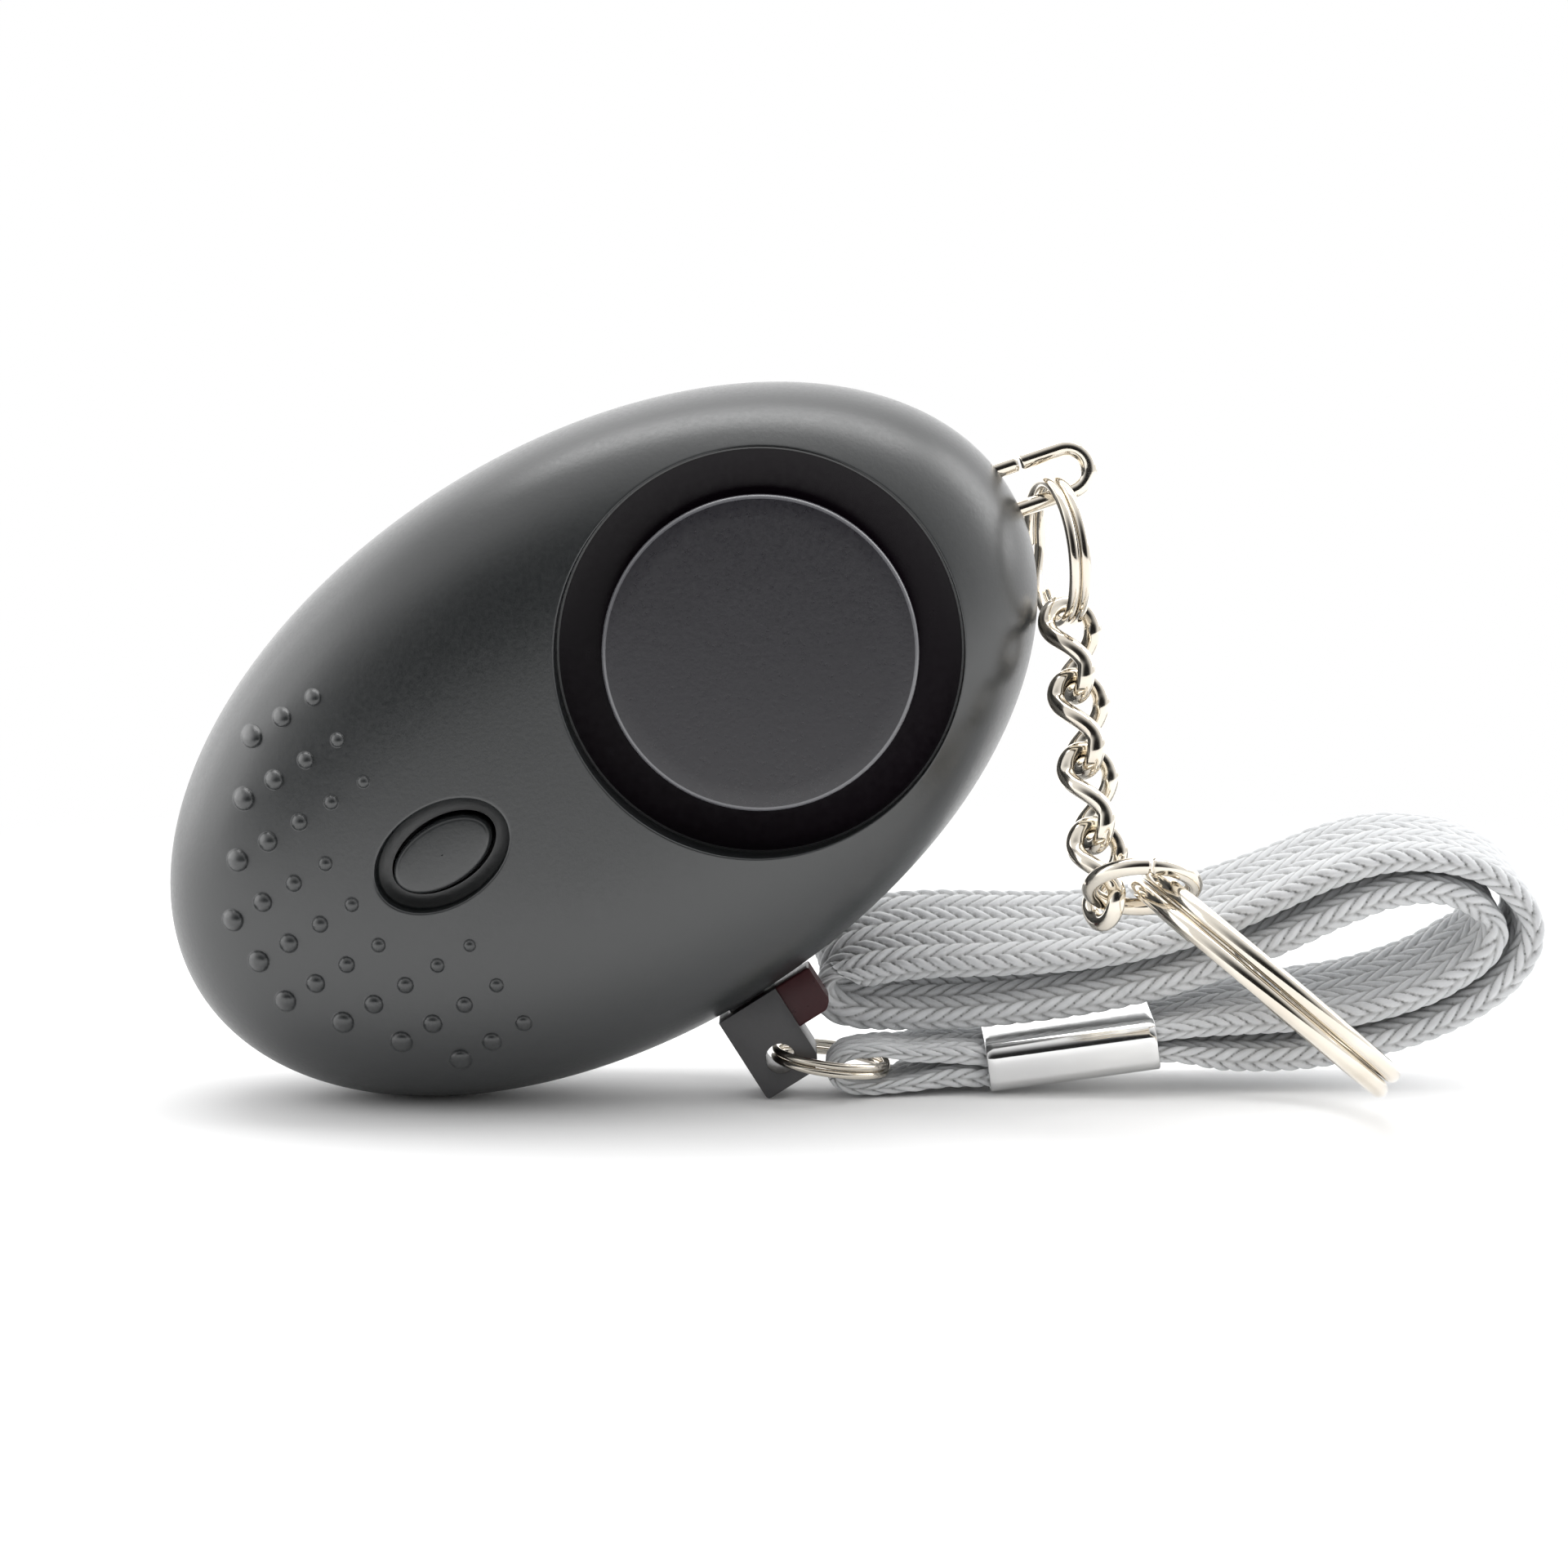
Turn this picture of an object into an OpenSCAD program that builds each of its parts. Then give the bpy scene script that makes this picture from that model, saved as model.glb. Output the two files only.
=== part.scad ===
// Personal safety alarm: a pebble-shaped casing with a siren, a torch button and a pull pin on a wrist
// strap, and a short chain with a key ring. It stands on its rim and on the tip of the pin.
// Casing pieces are drawn in a plan frame: x along the casing to its chain end, y across it away from
// the pin, z from the parting line to the front. Chain, rings and strap are drawn as they hang or lie.

/* [Casing] */
// Length of the casing
case_len = 63; // [60:0.5:70]
// Width of the casing
case_wid = 39.2; // [37.6:0.1:44]
// Depth of each half, from the parting line to the middle of its face
half_depth = 10.5; // [10:0.1:13]
// Wall of the casing
wall = 1.6; // [1.2:0.1:2]
// How flat the faces stay before they roll over to the rim
face_power = 4.5; // [4:0.1:6]
// Depth taken off the back for its flat resting face
back_land = 0.3; // [0.2:0.05:0.6]
// Slope of the casing as it stands
stand_tilt = 32.3; // [28:0.1:36]
// Clearance between pieces that are fitted together
fit_gap = 0.05; // [0.03:0.01:0.1]
// Clearance around pieces that move
run_gap = 0.15; // [0.1:0.01:0.25]

/* [Grip studs] */
// Place along the casing of the studs nearest its narrow end
stud_tip_x = -25.5; // [-26:0.1:-24]
// Step between studs in a row
stud_step = 2.47; // [2.1:0.01:2.6]
// Step between rows
stud_row = 3.1; // [2.8:0.01:3.2]
// How far the middle row lies above the casing's axis
stud_side = 0.4; // [0:0.1:0.5]
// Radius of the outermost studs
stud_r = 0.79; // [0.5:0.01:0.85]
// Each stud's radius as a share of the next one out
stud_taper = 0.86; // [0.8:0.01:1]

/* [Siren] */
// Place of the siren along the casing
siren_x = 12.4; // [11.6:0.1:12.8]
// Diameter of the siren's front disc
cap_d = 20.1; // [17:0.1:22]
// Thickness of the front disc
cap_t = 1.3; // [0.8:0.1:1.8]
// How far the front disc lies below the middle of the face
cap_sink = 1; // [0.6:0.1:1.3]
// Bevel at the edge of the front disc
cap_bevel = 0.25; // [0.1:0.05:0.5]
// Diameter of the opening around the disc
groove_d = 26; // [25:0.1:26.8]
// How far the lip of the opening holds the siren's flange
lip_w = 0.6; // [0.3:0.1:0.8]
// Depth of the groove's floor below the middle of the face
groove_depth = 3.5; // [3.2:0.1:4]
// Thickness of the flange at the groove's floor
flange_t = 1.1; // [0.8:0.1:1.4]
// Thickness of the gasket
gasket_t = 0.9; // [0.5:0.1:1.2]
// Thickness of the sounder's brass plate
plate_t = 0.25; // [0.2:0.05:0.4]
// Diameter of the sounder's ceramic
ceramic_d = 19; // [15:0.5:20]
// Thickness of the sounder's ceramic
ceramic_t = 0.25; // [0.2:0.05:0.4]
// Thickness of the retaining ring
retainer_t = 1.15; // [0.8:0.05:1.4]
// Width of the gasket and of the retaining ring
retainer_w = 2.1; // [1.5:0.1:2.4]
// Wall of the well that holds the siren
well_wall = 1.2; // [0.9:0.1:1.4]
// Number of ribs that carry the front disc
cap_ribs = 6; // [4:1:8]
// Width of each rib
rib_w = 1.4; // [1:0.1:2]
// Length of each rib
rib_len = 2; // [1.6:0.1:2.4]
// How far the front disc reaches past the flange's hole
cap_over = 2; // [1.6:0.1:2.4]

/* [Torch button] */
// Place of the button along the casing
button_x = -11.5; // [-12.2:0.1:-11]
// Length of the recess around the button
recess_len = 9.3; // [8.5:0.1:10]
// Width of the recess around the button
recess_wid = 6.4; // [5.8:0.1:7]
// Depth of the recess
recess_depth = 1.9; // [1.5:0.1:2.2]
// Thickness of the recess's floor and wall
recess_wall = 1.2; // [0.9:0.1:1.4]
// Length of the button's pad
pad_len = 6.9; // [6:0.1:7.2]
// Width of the button's pad
pad_wid = 4; // [3.4:0.1:4.2]
// How far the pad lies below the face
pad_sink = 0.4; // [0.2:0.05:0.8]
// Rim of the button behind the recess's floor
pad_rim = 0.8; // [0.5:0.1:1]
// Thickness of that rim
pad_rim_t = 0.7; // [0.5:0.1:0.9]
// Diameter of the stem that works the switch
stem_d = 2.4; // [1.8:0.1:3]
// Travel of the button
button_travel = 0.6; // [0.3:0.1:0.7]

/* [Board] */
// Distance of the board's front from the parting line
board_z = 1.9; // [1.7:0.1:2.2]
// Thickness of the board
board_t = 1; // [0.8:0.1:1]
// Diameter of the board's round ends
board_d = 48; // [46:0.5:49]
// Width of the board
board_wid = 22; // [21:0.5:23]
// Side of the switch
switch_w = 6; // [4.5:0.1:6.5]
// Height of the switch
switch_h = 2.8; // [2.4:0.1:3]
// Diameter of the switch's plunger
plunger_d = 2.8; // [2.4:0.1:3.2]
// Diameter of the step-up coil
coil_d = 4.4; // [3.6:0.1:4.8]
// Height of the step-up coil
coil_h = 3.6; // [3:0.1:4.2]
// Diameter of the capacitor
capacitor_d = 4; // [3:0.1:4.4]
// Height of the capacitor
capacitor_h = 4.4; // [3.5:0.1:4.8]
// Length of the driver chip
chip_len = 5; // [4:0.1:6]
// Height of the driver chip
chip_h = 1.4; // [1:0.1:1.6]
// Diameter of the torch lamp
lamp_d = 3; // [2.6:0.1:3.4]
// Length of the torch lamp
lamp_len = 5.6; // [5:0.1:6]
// How far the lamp's leads reach over the board
lamp_foot = 0.8; // [0.5:0.1:1]

/* [Button cells] */
// Diameter of a cell
cell_d = 11.6; // [11:0.1:11.8]
// Height of a cell
cell_h = 5.4; // [5:0.1:5.6]
// Step between cells
cell_pitch = 12.2; // [12.1:0.1:12.3]
// Place of the middle cell along the casing
cell_x = 1.9; // [1.7:0.1:2.1]
// Distance of the cells' fronts behind the parting line
cell_z = 0.6; // [0.4:0.1:0.8]
// Wall of the tray round the cells
tray_wall = 0.7; // [0.6:0.1:0.8]
// Thickness of the contact strips
strip_t = 0.3; // [0.2:0.05:0.4]
// Width of the contact strips
strip_w = 4; // [3:0.1:5]

/* [Screws] */
// Diameter of a screw's thread
screw_d = 2; // [1.6:0.1:2.2]
// Diameter of a screw's head
head_d = 3.6; // [3.2:0.1:3.8]
// Height of a screw's head
head_t = 1.3; // [1:0.1:1.5]
// Diameter of the bosses that take the screws
boss_d = 4.4; // [4.2:0.1:4.6]
// How deep a screw bites into its front boss
bite = 4; // [3:0.1:4.5]
// Place of the screw at the narrow end
tip_screw_x = -19.8; // [-20.2:0.1:-19.5]
// Place along the casing of the two screws at the sides
side_screw_x = -6.6; // [-7:0.1:-6.5]
// Place across the casing of the two screws at the sides
side_screw_y = 9.3; // [9.2:0.1:9.6]

/* [Pull pin] */
// Place of the pin along the casing
pin_x = -1.2; // [-1.5:0.1:-0.8]
// Width of the pin's tab
pin_w = 4.4; // [3.8:0.1:4.8]
// Depth of the pin's tab, front to back
pin_depth = 4.4; // [4:0.1:5]
// Distance of the pin's tip from the middle of the casing
pin_reach = 25.8; // [25.6:0.1:26.5]
// Gap between the pin's tab and the casing
pin_seat = 0.15; // [0.1:0.05:0.5]
// Width of the shoulder beside the tab
shoulder_w = 7; // [6:0.1:7.4]
// Depth of the shoulder, front to back
shoulder_depth = 2.8; // [2:0.1:3]
// Length of the shoulder along the pin
shoulder_len = 3.1; // [2:0.1:3.4]
// Width of the blade that holds the contacts apart
blade_w = 2.6; // [2.2:0.1:2.8]
// Thickness of the blade
blade_t = 1.6; // [1.2:0.1:1.8]
// How far the blade's end stays from the middle of the casing
blade_end = 10.6; // [10.4:0.1:11.5]
// Diameter of the hole for the ring
pin_hole_d = 2; // [1.8:0.1:2.2]
// Distance of that hole from the tip
pin_hole_edge = 1.9; // [1.7:0.1:2.2]
// Thickness of the contact leaves
leaf_t = 0.25; // [0.2:0.05:0.3]

/* [Pin ring and strap] */
// Outer diameter of the pin's split ring
pin_ring_d = 8; // [7.6:0.1:8.4]
// Wire of the pin's split ring
pin_ring_wire = 0.5; // [0.4:0.05:0.55]
// Slope of the pin's split ring, down to the right
pin_ring_slope = 7.5; // [7:0.5:8]
// Width of the strap
strap_w = 9; // [8:0.1:9.4]
// Thickness of the strap
strap_t = 1.8; // [1.5:0.1:1.9]
// Width of the strap where it is drawn through the pin's ring
neck_w = 4.8; // [4:0.1:5]
// Thickness of the strap there
neck_t = 1; // [0.8:0.1:1.1]
// Thickness of the strap where the ferrule presses it
press_t = 1.25; // [1.1:0.05:1.4]
// Length of the ferrule
ferrule_len = 11.4; // [10:0.1:12]
// Thickness of the ferrule's metal
ferrule_t = 0.35; // [0.25:0.05:0.4]
// Room between the strap's two layers in the ferrule
layer_gap = 0.2; // [0.1:0.05:0.3]

/* [Bail] */
// Wire of the bail
bail_wire = 1.1; // [0.9:0.05:1.2]
// Step between the bail's two legs
bail_step = 2.9; // [2.7:0.05:3.1]
// Length of the bail's straight legs
bail_leg = 7.5; // [7.3:0.1:8]
// Place of the bail's post along the casing, in from its end
post_x = 3.5; // [3.1:0.1:3.6]
// Place of the bail's post across the casing
post_y = 0.6; // [0.4:0.1:0.8]
// How far the bail droops from the line of the casing
bail_droop = 13.7; // [10:0.1:16]
// How far the bail can swing either way
bail_swing = 7; // [5:0.5:8]
// Place of the bail's cut along it, from the post
bail_cut = 4.7; // [4.4:0.1:5]
// Width of the cut in the bail and in the jump ring
wire_cut = 0.15; // [0.1:0.05:0.25]

/* [Chain] */
// Outer diameter of the split ring on the bail
bail_ring_d = 10; // [9.6:0.1:10.4]
// Wire of the split ring on the bail
bail_ring_wire = 0.7; // [0.6:0.05:0.75]
// Turn of that ring away from facing the front
bail_ring_turn = 78; // [76:1:82]
// Place of that ring along the bail, from the post
bail_ring_seat = 5.7; // [5.5:0.05:5.9]
// Lean of that ring to the front
ring_lean = 15; // [12:0.5:17]
// Lean of that ring to the right
ring_drift = 9.8; // [9:0.1:11]
// Wire of the chain's links
link_wire = 1.15; // [0.9:0.05:1.2]
// Outer width of a link
link_w = 4.4; // [4.3:0.1:4.6]
// Outer length of a link
link_len = 7.6; // [7.4:0.1:7.8]
// Turn of the first link from the ring it hangs on
link_lead = 84; // [80:1:90]
// Twist of a link from end to end
link_twist = 92; // [88:0.5:96]
// Room between links where they hang on each other
link_gap = 0.2; // [0.15:0.01:0.25]
// Lean of the chain to the front
chain_lean = 26; // [24:0.5:28]
// Lean of the chain to the right
chain_drift = 5.7; // [5:0.1:7]
// Outer diameter of the jump ring
jump_d = 7.6; // [7.5:0.1:8]
// Wire of the jump ring
jump_wire = 1.1; // [0.9:0.05:1.15]
// Turn of the jump ring's middle from the right to the front
jump_yaw = 47; // [44:1:50]
// Rise of the jump ring's front
jump_rise = 32; // [30:0.5:34]

/* [Key ring] */
// Outer diameter of the key ring
key_d = 21; // [20:0.1:22]
// Wire of the key ring
key_wire = 1.15; // [0.9:0.05:1.2]
// Slope of the key ring, down to the right
key_slope = 40; // [38:0.5:42]
// Roll of the key ring about its slope
key_roll = -3.5; // [-4:0.5:0]
// Turn along the key ring from its upper end to where it passes through the jump ring
key_pass = 12; // [10:0.5:14]

/* [Hidden] */
$fn = 64;

half_len = case_len / 2;
half_wid = case_wid / 2;
past = 1;

// height of the rim's lowest point, and of the pin's tip, below the middle of the casing
rim_low = norm([half_len * sin(stand_tilt), half_wid * cos(stand_tilt)]);
pin_low = pin_reach * cos(stand_tilt) - (pin_x - pin_w / 2) * sin(stand_tilt);
stand_z = max(rim_low, pin_low);

siren_r = groove_d / 2 + lip_w;
flange_z = half_depth - groove_depth;
gasket_z = flange_z - flange_t;
plate_z = gasket_z - gasket_t;
ceramic_z = plate_z - plate_t;
retainer_z = ceramic_z - retainer_t;
cap_z = half_depth - cap_sink;
cap_hole_r = cap_d / 2 - cap_over;
lead_r = 0.4;

recess_z = half_depth - recess_depth;
floor_z = recess_z - recess_wall;
switch_z = board_z + switch_h;
plunger_up = 0.8;
plunger_in = 0.6;
plunger_z = switch_z + plunger_up;
rim_z = floor_z - run_gap;

board_back = board_z - board_t;
screw_places = [[tip_screw_x, 0], [side_screw_x, side_screw_y], [side_screw_x, -side_screw_y]];
coil_place = [-5.6, 3.2];
capacitor_place = [-5.6, -2.6];
chip_place = [8, -4];
lamp_step = 1.27;
lamp_wire = 0.25;
lamp_x = -half_len + 0.2;
lamp_end = lamp_x + lamp_len;
lamp_rim = 0.4;

cell_places = [cell_x - cell_pitch, cell_x, cell_x + cell_pitch];
cell_back = -cell_z - cell_h;
tray_z = cell_back - strip_t;
tray_floor = 0.6;
tray_back = tray_z - tray_floor;
tray_len = 2 * cell_pitch + cell_d + 2 * tray_wall;
tray_wid = cell_d + 2 * tray_wall;
strip_r = 4.2;
spring_r = 1.5;

rim_y = half_wid * sqrt(1 - pow(pin_x / half_len, 2));
tab_top = rim_y + pin_seat;
pin_hole_y = pin_reach - pin_hole_edge;
leaf_gap = 0.1;
leaf_w = blade_w - 0.6;
leaf_len = 6;
block_len = 2;
leaf_foot = 1.4;
block_y = -blade_end + 1;

post_at = half_len - post_x;
post_r = (bail_step - bail_wire) / 2 - run_gap;
post_front = 3;

function unit(v) = v / norm(v);
function plan_point(p) = [p.x * cos(stand_tilt) - p.y * sin(stand_tilt), 0,
    stand_z + p.x * sin(stand_tilt) + p.y * cos(stand_tilt)];
// depth of a face over a point of the plan
function face_z(x, y) = half_depth * sqrt(1 - pow(norm([x / half_len, y / half_wid]), face_power));

// the chain hangs from the bail's lower leg
bail_end = [cos(bail_droop), -sin(bail_droop)];
bail_down = [-sin(bail_droop), -cos(bail_droop)];
hang = plan_point([post_at, post_y] + bail_ring_seat * bail_end + bail_step / 2 * bail_down);
function hanging(drift, lean) = unit([tan(drift), -tan(lean), -1]);
function around(dir, turn) = let (side = unit([1, 0, 0] - dir.x * dir)) cos(turn) * side + sin(turn) * cross(dir, side);
ring_dir = hanging(ring_drift, ring_lean);
chain_dir = hanging(chain_drift, chain_lean);

bail_ring_r = (bail_ring_d - bail_ring_wire) / 2;
bail_ring_top = -(bail_wire + bail_ring_wire) / 2 - link_gap;
chain_from = hang + (bail_ring_top + 2 * bail_ring_r) * ring_dir;
function chain_point(s) = chain_from + s * chain_dir;
// a bow holds the ring's two turns side by side, so it sits lower on the ring than on one wire
bow_r = (link_w - link_wire) / 2;
bow_in = bow_r - link_wire / 2 - bail_ring_wire / 2 - link_gap;
pair_drop = bow_r - sqrt(max(0.01, pow(bow_in, 2) - pow(bail_ring_wire / 2, 2)));
link_mid = link_len - link_wire;
link_pitch = link_mid - link_wire - link_gap;
function link_top(i) = i * link_pitch - pair_drop;
function link_turn(i) = bail_ring_turn + link_lead + i * (90 - link_twist);

jump_r = (jump_d - jump_wire) / 2;
jump_at = chain_point(link_top(3) + link_mid - (link_wire + jump_wire) / 2 - link_gap);
jump_near = [0, -cos(jump_rise), sin(jump_rise)];
jump_out = cos(jump_yaw) * [1, 0, 0] + sin(jump_yaw) * jump_near;
jump_tangent = cos(jump_yaw) * jump_near - sin(jump_yaw) * [1, 0, 0];
jump_turn = cross(jump_tangent, jump_out);
jump_mid = jump_at + jump_r * jump_out;

// the key ring passes through the jump ring beside its middle
key_r = (key_d - key_wire) / 2;
key_down = [cos(key_slope), 0, -sin(key_slope)];
key_back = cos(key_roll) * [0, 1, 0] + sin(key_roll) * [sin(key_slope), 0, cos(key_slope)];
key_side = [0.5, -0.4];
key_at = jump_mid + key_side.x * jump_out + key_side.y * jump_tangent;
key_mid = key_at + key_r * (cos(key_pass) * key_down + sin(key_pass) * key_back);

// the object's middle, measured on everything but the strap
rim_side = norm([half_len * cos(stand_tilt), half_wid * sin(stand_tilt)]);
key_normal = cross(key_down, key_back);
key_reach = [for (i = [0:1]) key_r * norm([key_down[i], key_back[i]]) + key_wire / 2
    + key_wire / 2 * abs(key_normal[i])];
middle = [(key_mid.x + key_reach.x - rim_side) / 2, (half_depth - back_land + key_mid.y - key_reach.y) / 2, 0];

pin_hole = plan_point([pin_x, -pin_hole_y]);
pin_ring_r = (pin_ring_d - pin_ring_wire) / 2;
pin_ring_out = [cos(pin_ring_slope), 0, -sin(pin_ring_slope)];
// the ring's curve is centred in the depth of the pin's hole
pin_ring_bow = (pin_ring_r - sqrt(pow(pin_ring_r, 2) - pow(pin_depth / 2, 2))) / 2;
pin_ring_mid = pin_hole + (pin_ring_r - pin_ring_bow) * pin_ring_out;

ferrule_mid = [31.2, 3.6, 2.85];
ferrule_rise = 8;
ferrule_roll = 4;
ferrule_high = 2 * press_t + layer_gap + 2 * fit_gap + 2 * ferrule_t;
ferrule_wide = strap_w + 2 * fit_gap + 2 * ferrule_t;
ferrule_across = [0, cos(ferrule_roll), sin(ferrule_roll)];
ferrule_along = [cos(ferrule_rise), 0, sin(ferrule_rise)];
ferrule_up = cross(ferrule_along, ferrule_across);
function ferrule_point(s, layer, t) = ferrule_mid + s * ferrule_along + layer * (t + layer_gap) / 2 * ferrule_up;
// route of the wrist loop: middle of the strap at each point, and the slope of its width
wrist_route = [[41.5, 4.2, 2.8, 9], [46.5, 4.6, 3, 12], [51.5, 4.8, 4, 15], [56, 5, 5.5, 16],
    [59.4, 5, 7.4, 15], [61.4, 5, 9.6, 13], [61.9, 5, 11.7, 11], [61, 5, 13.6, 10], [59, 5, 15.2, 10],
    [56, 5, 16.1, 10], [52.4, 5, 16.2, 11], [48.8, 5, 15.3, 12], [45, 5.1, 13.7, 13], [41, 5.2, 12.1, 16],
    [36.5, 5.2, 10.9, 19], [31.5, 5.1, 10.2, 22], [26.5, 5.2, 10, 25], [22, 5.5, 9.9, 27],
    [18.8, 5.6, 9.6, 28], [16.6, 5.6, 9, 28], [15.4, 5.6, 8, 27], [15.4, 5.6, 7, 26],
    [16.7, 5.6, 6.4, 25], [19, 5.6, 6.2, 24], [22.5, 5.4, 6.2, 23], [27, 5, 6.5, 21],
    [32, 4.8, 7.1, 19], [37, 4.9, 8, 16], [41.5, 5, 9.3, 14], [45.8, 5, 11.1, 13],
    [49.4, 5, 12.7, 12], [52.6, 5, 13.8, 11], [55.7, 5, 14, 10], [58.1, 5, 13.2, 11],
    [59.4, 5, 11.6, 12], [58.9, 5, 10, 13], [57.3, 5, 8.7, 14], [54.6, 4.9, 7.3, 14],
    [50.6, 4.8, 6.1, 13], [46, 4.6, 5.5, 11], [41.5, 4.2, 5.1, 8]];
// route of the loop through the pin's ring: middle of the strap and its share of the way to the neck
ring_route = [[22.6, 2.4, 1.15, 0.4], [20, 1.2, 0.8, 0.8], [17.6, 0.5, 0.62, 1], [16, 0.2, 0.9, 1],
    [15.3, 0.1, 1.6, 1], [15.4, 0.1, 2.4, 1], [16.3, 0.2, 3, 1], [18.2, 0.5, 3.15, 1],
    [20.4, 1.3, 2.85, 0.8], [23, 2.5, 2.8, 0.4]];

function section(w, t) = [[-0.5, -0.25], [-0.43, -0.5], [0.43, -0.5], [0.5, -0.25], [0.5, 0.25], [0.43, 0.5],
    [-0.43, 0.5], [-0.5, 0.25]] * [[w, 0], [0, t]];
function round_section(d, sides) = [for (i = [0:sides - 1]) d / 2 * [cos(360 * i / sides), sin(360 * i / sides)]];
function tangent(path, i, closed) = let (n = len(path))
    closed ? unit(path[(i + 1) % n] - path[(i + n - 1) % n]) : unit(path[min(i + 1, n - 1)] - path[max(i - 1, 0)]);

// a tube along a path, where widths holds the direction of each section's own x axis
module sweep(path, widths, sections, closed) {
    n = len(path);
    sides = len(sections[0]);
    points = [for (i = [0:n - 1]) let (up = unit(cross(tangent(path, i, closed), widths[i])))
        for (q = sections[i]) path[i] + q.x * widths[i] + q.y * up];
    last = closed ? n - 1 : n - 2;
    walls = [for (i = [0:last], j = [0:sides - 1]) let (a = i * sides, b = (i + 1) % n * sides, k = (j + 1) % sides)
        each [[a + j, b + k, a + k], [a + j, b + j, b + k]]];
    ends = closed ? [] : [for (j = [1:sides - 2]) each [[0, j, j + 1], [0, j + 1, j] + (n - 1) * sides * [1, 1, 1]]];
    polyhedron(points, concat(walls, ends));
}

module round_tube(path, refs, d, sides, closed) {
    widths = [for (i = [0:len(path) - 1]) let (t = tangent(path, i, closed)) unit(refs[i] - (refs[i] * t) * t)];
    sweep(path, widths, [for (p = path) round_section(d, sides)], closed);
}

// a wire of two turns side by side, cranked across where one turn becomes the other
module split_ring(mid, first, second, r, wire, rings) {
    ends = 20;
    crank = 18;
    normal = cross(first, second);
    angles = [for (i = [0:rings]) ends + (720 - 2 * ends) * i / rings];
    path = [for (a = angles) mid + r * (cos(a) * first + sin(a) * second)
        + wire * 0.53 * max(-1, min(1, (a - 360) / crank)) * normal];
    round_tube(path, [for (a = angles) normal], wire, 8, false);
}

module placed() {
    translate(-middle) children();
}

module in_plan() {
    placed() translate([0, 0, stand_z]) rotate([0, -stand_tilt, 0]) rotate([90, 0, 0]) children();
}

module oval(length, width) {
    scale([length / width, 1]) circle(d = width);
}

module tube(outer_r, inner_r, height) {
    difference() {
        cylinder(r = outer_r, h = height);
        translate([0, 0, -past]) cylinder(r = inner_r, h = height + 2 * past);
    }
}

// one half of the pebble in flat facets: rings from the parting line up to a small flat top
module dome(length, width, depth, skirt, around, turns) {
    rings = concat(skirt > 0 ? [[1, -skirt]] : [], [for (q = turns) [pow(sin(q), 2 / face_power), depth * cos(q)]]);
    points = [for (ring = rings, i = [0:around - 1]) let (a = 360 * i / around)
        [length * ring[0] * cos(a), width * ring[0] * sin(a), ring[1]]];
    top = len(rings) - 1;
    walls = [for (k = [0:top - 1], i = [0:around - 1]) let (a = k * around, b = a + around, j = (i + 1) % around)
        each [[a + i, b + j, a + j], [a + i, b + i, b + j]]];
    ends = [for (i = [1:around - 2]) each [[0, i, i + 1], [0, i + 1, i] + top * around * [1, 1, 1]]];
    polyhedron(points, concat(walls, ends));
}

module outer_dome(top) {
    dome(half_len, half_wid, half_depth, 0, 64, concat([90, 78, 66, 54, 42, 30, 20], top));
}

module cavity() {
    dome(half_len - wall, half_wid - wall, half_depth - wall, past, 48, [90, 72, 54, 36, 18, 5]);
}

module studs() {
    for (row = [-4:4]) {
        first = max(0, abs(row) - 1);
        for (i = [first:abs(row) < 2 ? 3 : 5]) {
            x = stud_tip_x + i * stud_step;
            y = stud_side + row * stud_row;
            r = stud_r * pow(stud_taper, i - first);
            translate([x, y, face_z(x, y) - 0.35 * r]) sphere(r, $fn = 32);
        }
    }
}

// ways into the casing at the parting line: the bail's slot, the pin's slot and the lamp's hole
module rim_openings() {
    bail_room = bail_wire + 2 * run_gap;
    slot_wid = bail_step + bail_room + 2 * post_x * sin(bail_swing);
    translate([post_at, post_y, -bail_room / 2]) rotate(-bail_droop) translate([0, -slot_wid / 2, 0])
        cube([half_len, slot_wid, bail_room]);
    translate([pin_x - blade_w / 2 - run_gap, -half_wid - past, -blade_t / 2 - run_gap])
        cube([blade_w + 2 * run_gap, half_wid / 2, blade_t + 2 * run_gap]);
    translate([-half_len - past, 0, 0]) rotate([0, 90, 0])
        cylinder(d = lamp_d + 2 * fit_gap, h = half_len - board_d / 2 + past);
}

module front_shell() {
    color("#3a3b3d") in_plan() difference() {
        union() {
            outer_dome([11, 4]);
            studs();
        }
        difference() {
            cavity();
            translate([siren_x, 0, retainer_z]) cylinder(r = siren_r + well_wall, h = half_depth);
            translate([button_x, 0, floor_z]) linear_extrude(half_depth)
                oval(recess_len + 2 * recess_wall, recess_wid + 2 * recess_wall);
            for (p = screw_places) translate([p.x, p.y, board_z]) cylinder(d = boss_d, h = half_depth);
        }
        translate([siren_x, 0, 0]) cylinder(d = groove_d, h = half_depth + past);
        translate([siren_x, 0, -past]) cylinder(r = siren_r, h = flange_z + past);
        translate([button_x, 0, recess_z]) linear_extrude(half_depth) oval(recess_len, recess_wid);
        translate([button_x, 0, 0]) linear_extrude(half_depth) oval(pad_len + 2 * run_gap, pad_wid + 2 * run_gap);
        for (p = screw_places) translate([p.x, p.y, -past])
            cylinder(d = screw_d + 2 * fit_gap, h = board_z + bite + 2 * past);
        rim_openings();
    }
}

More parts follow.
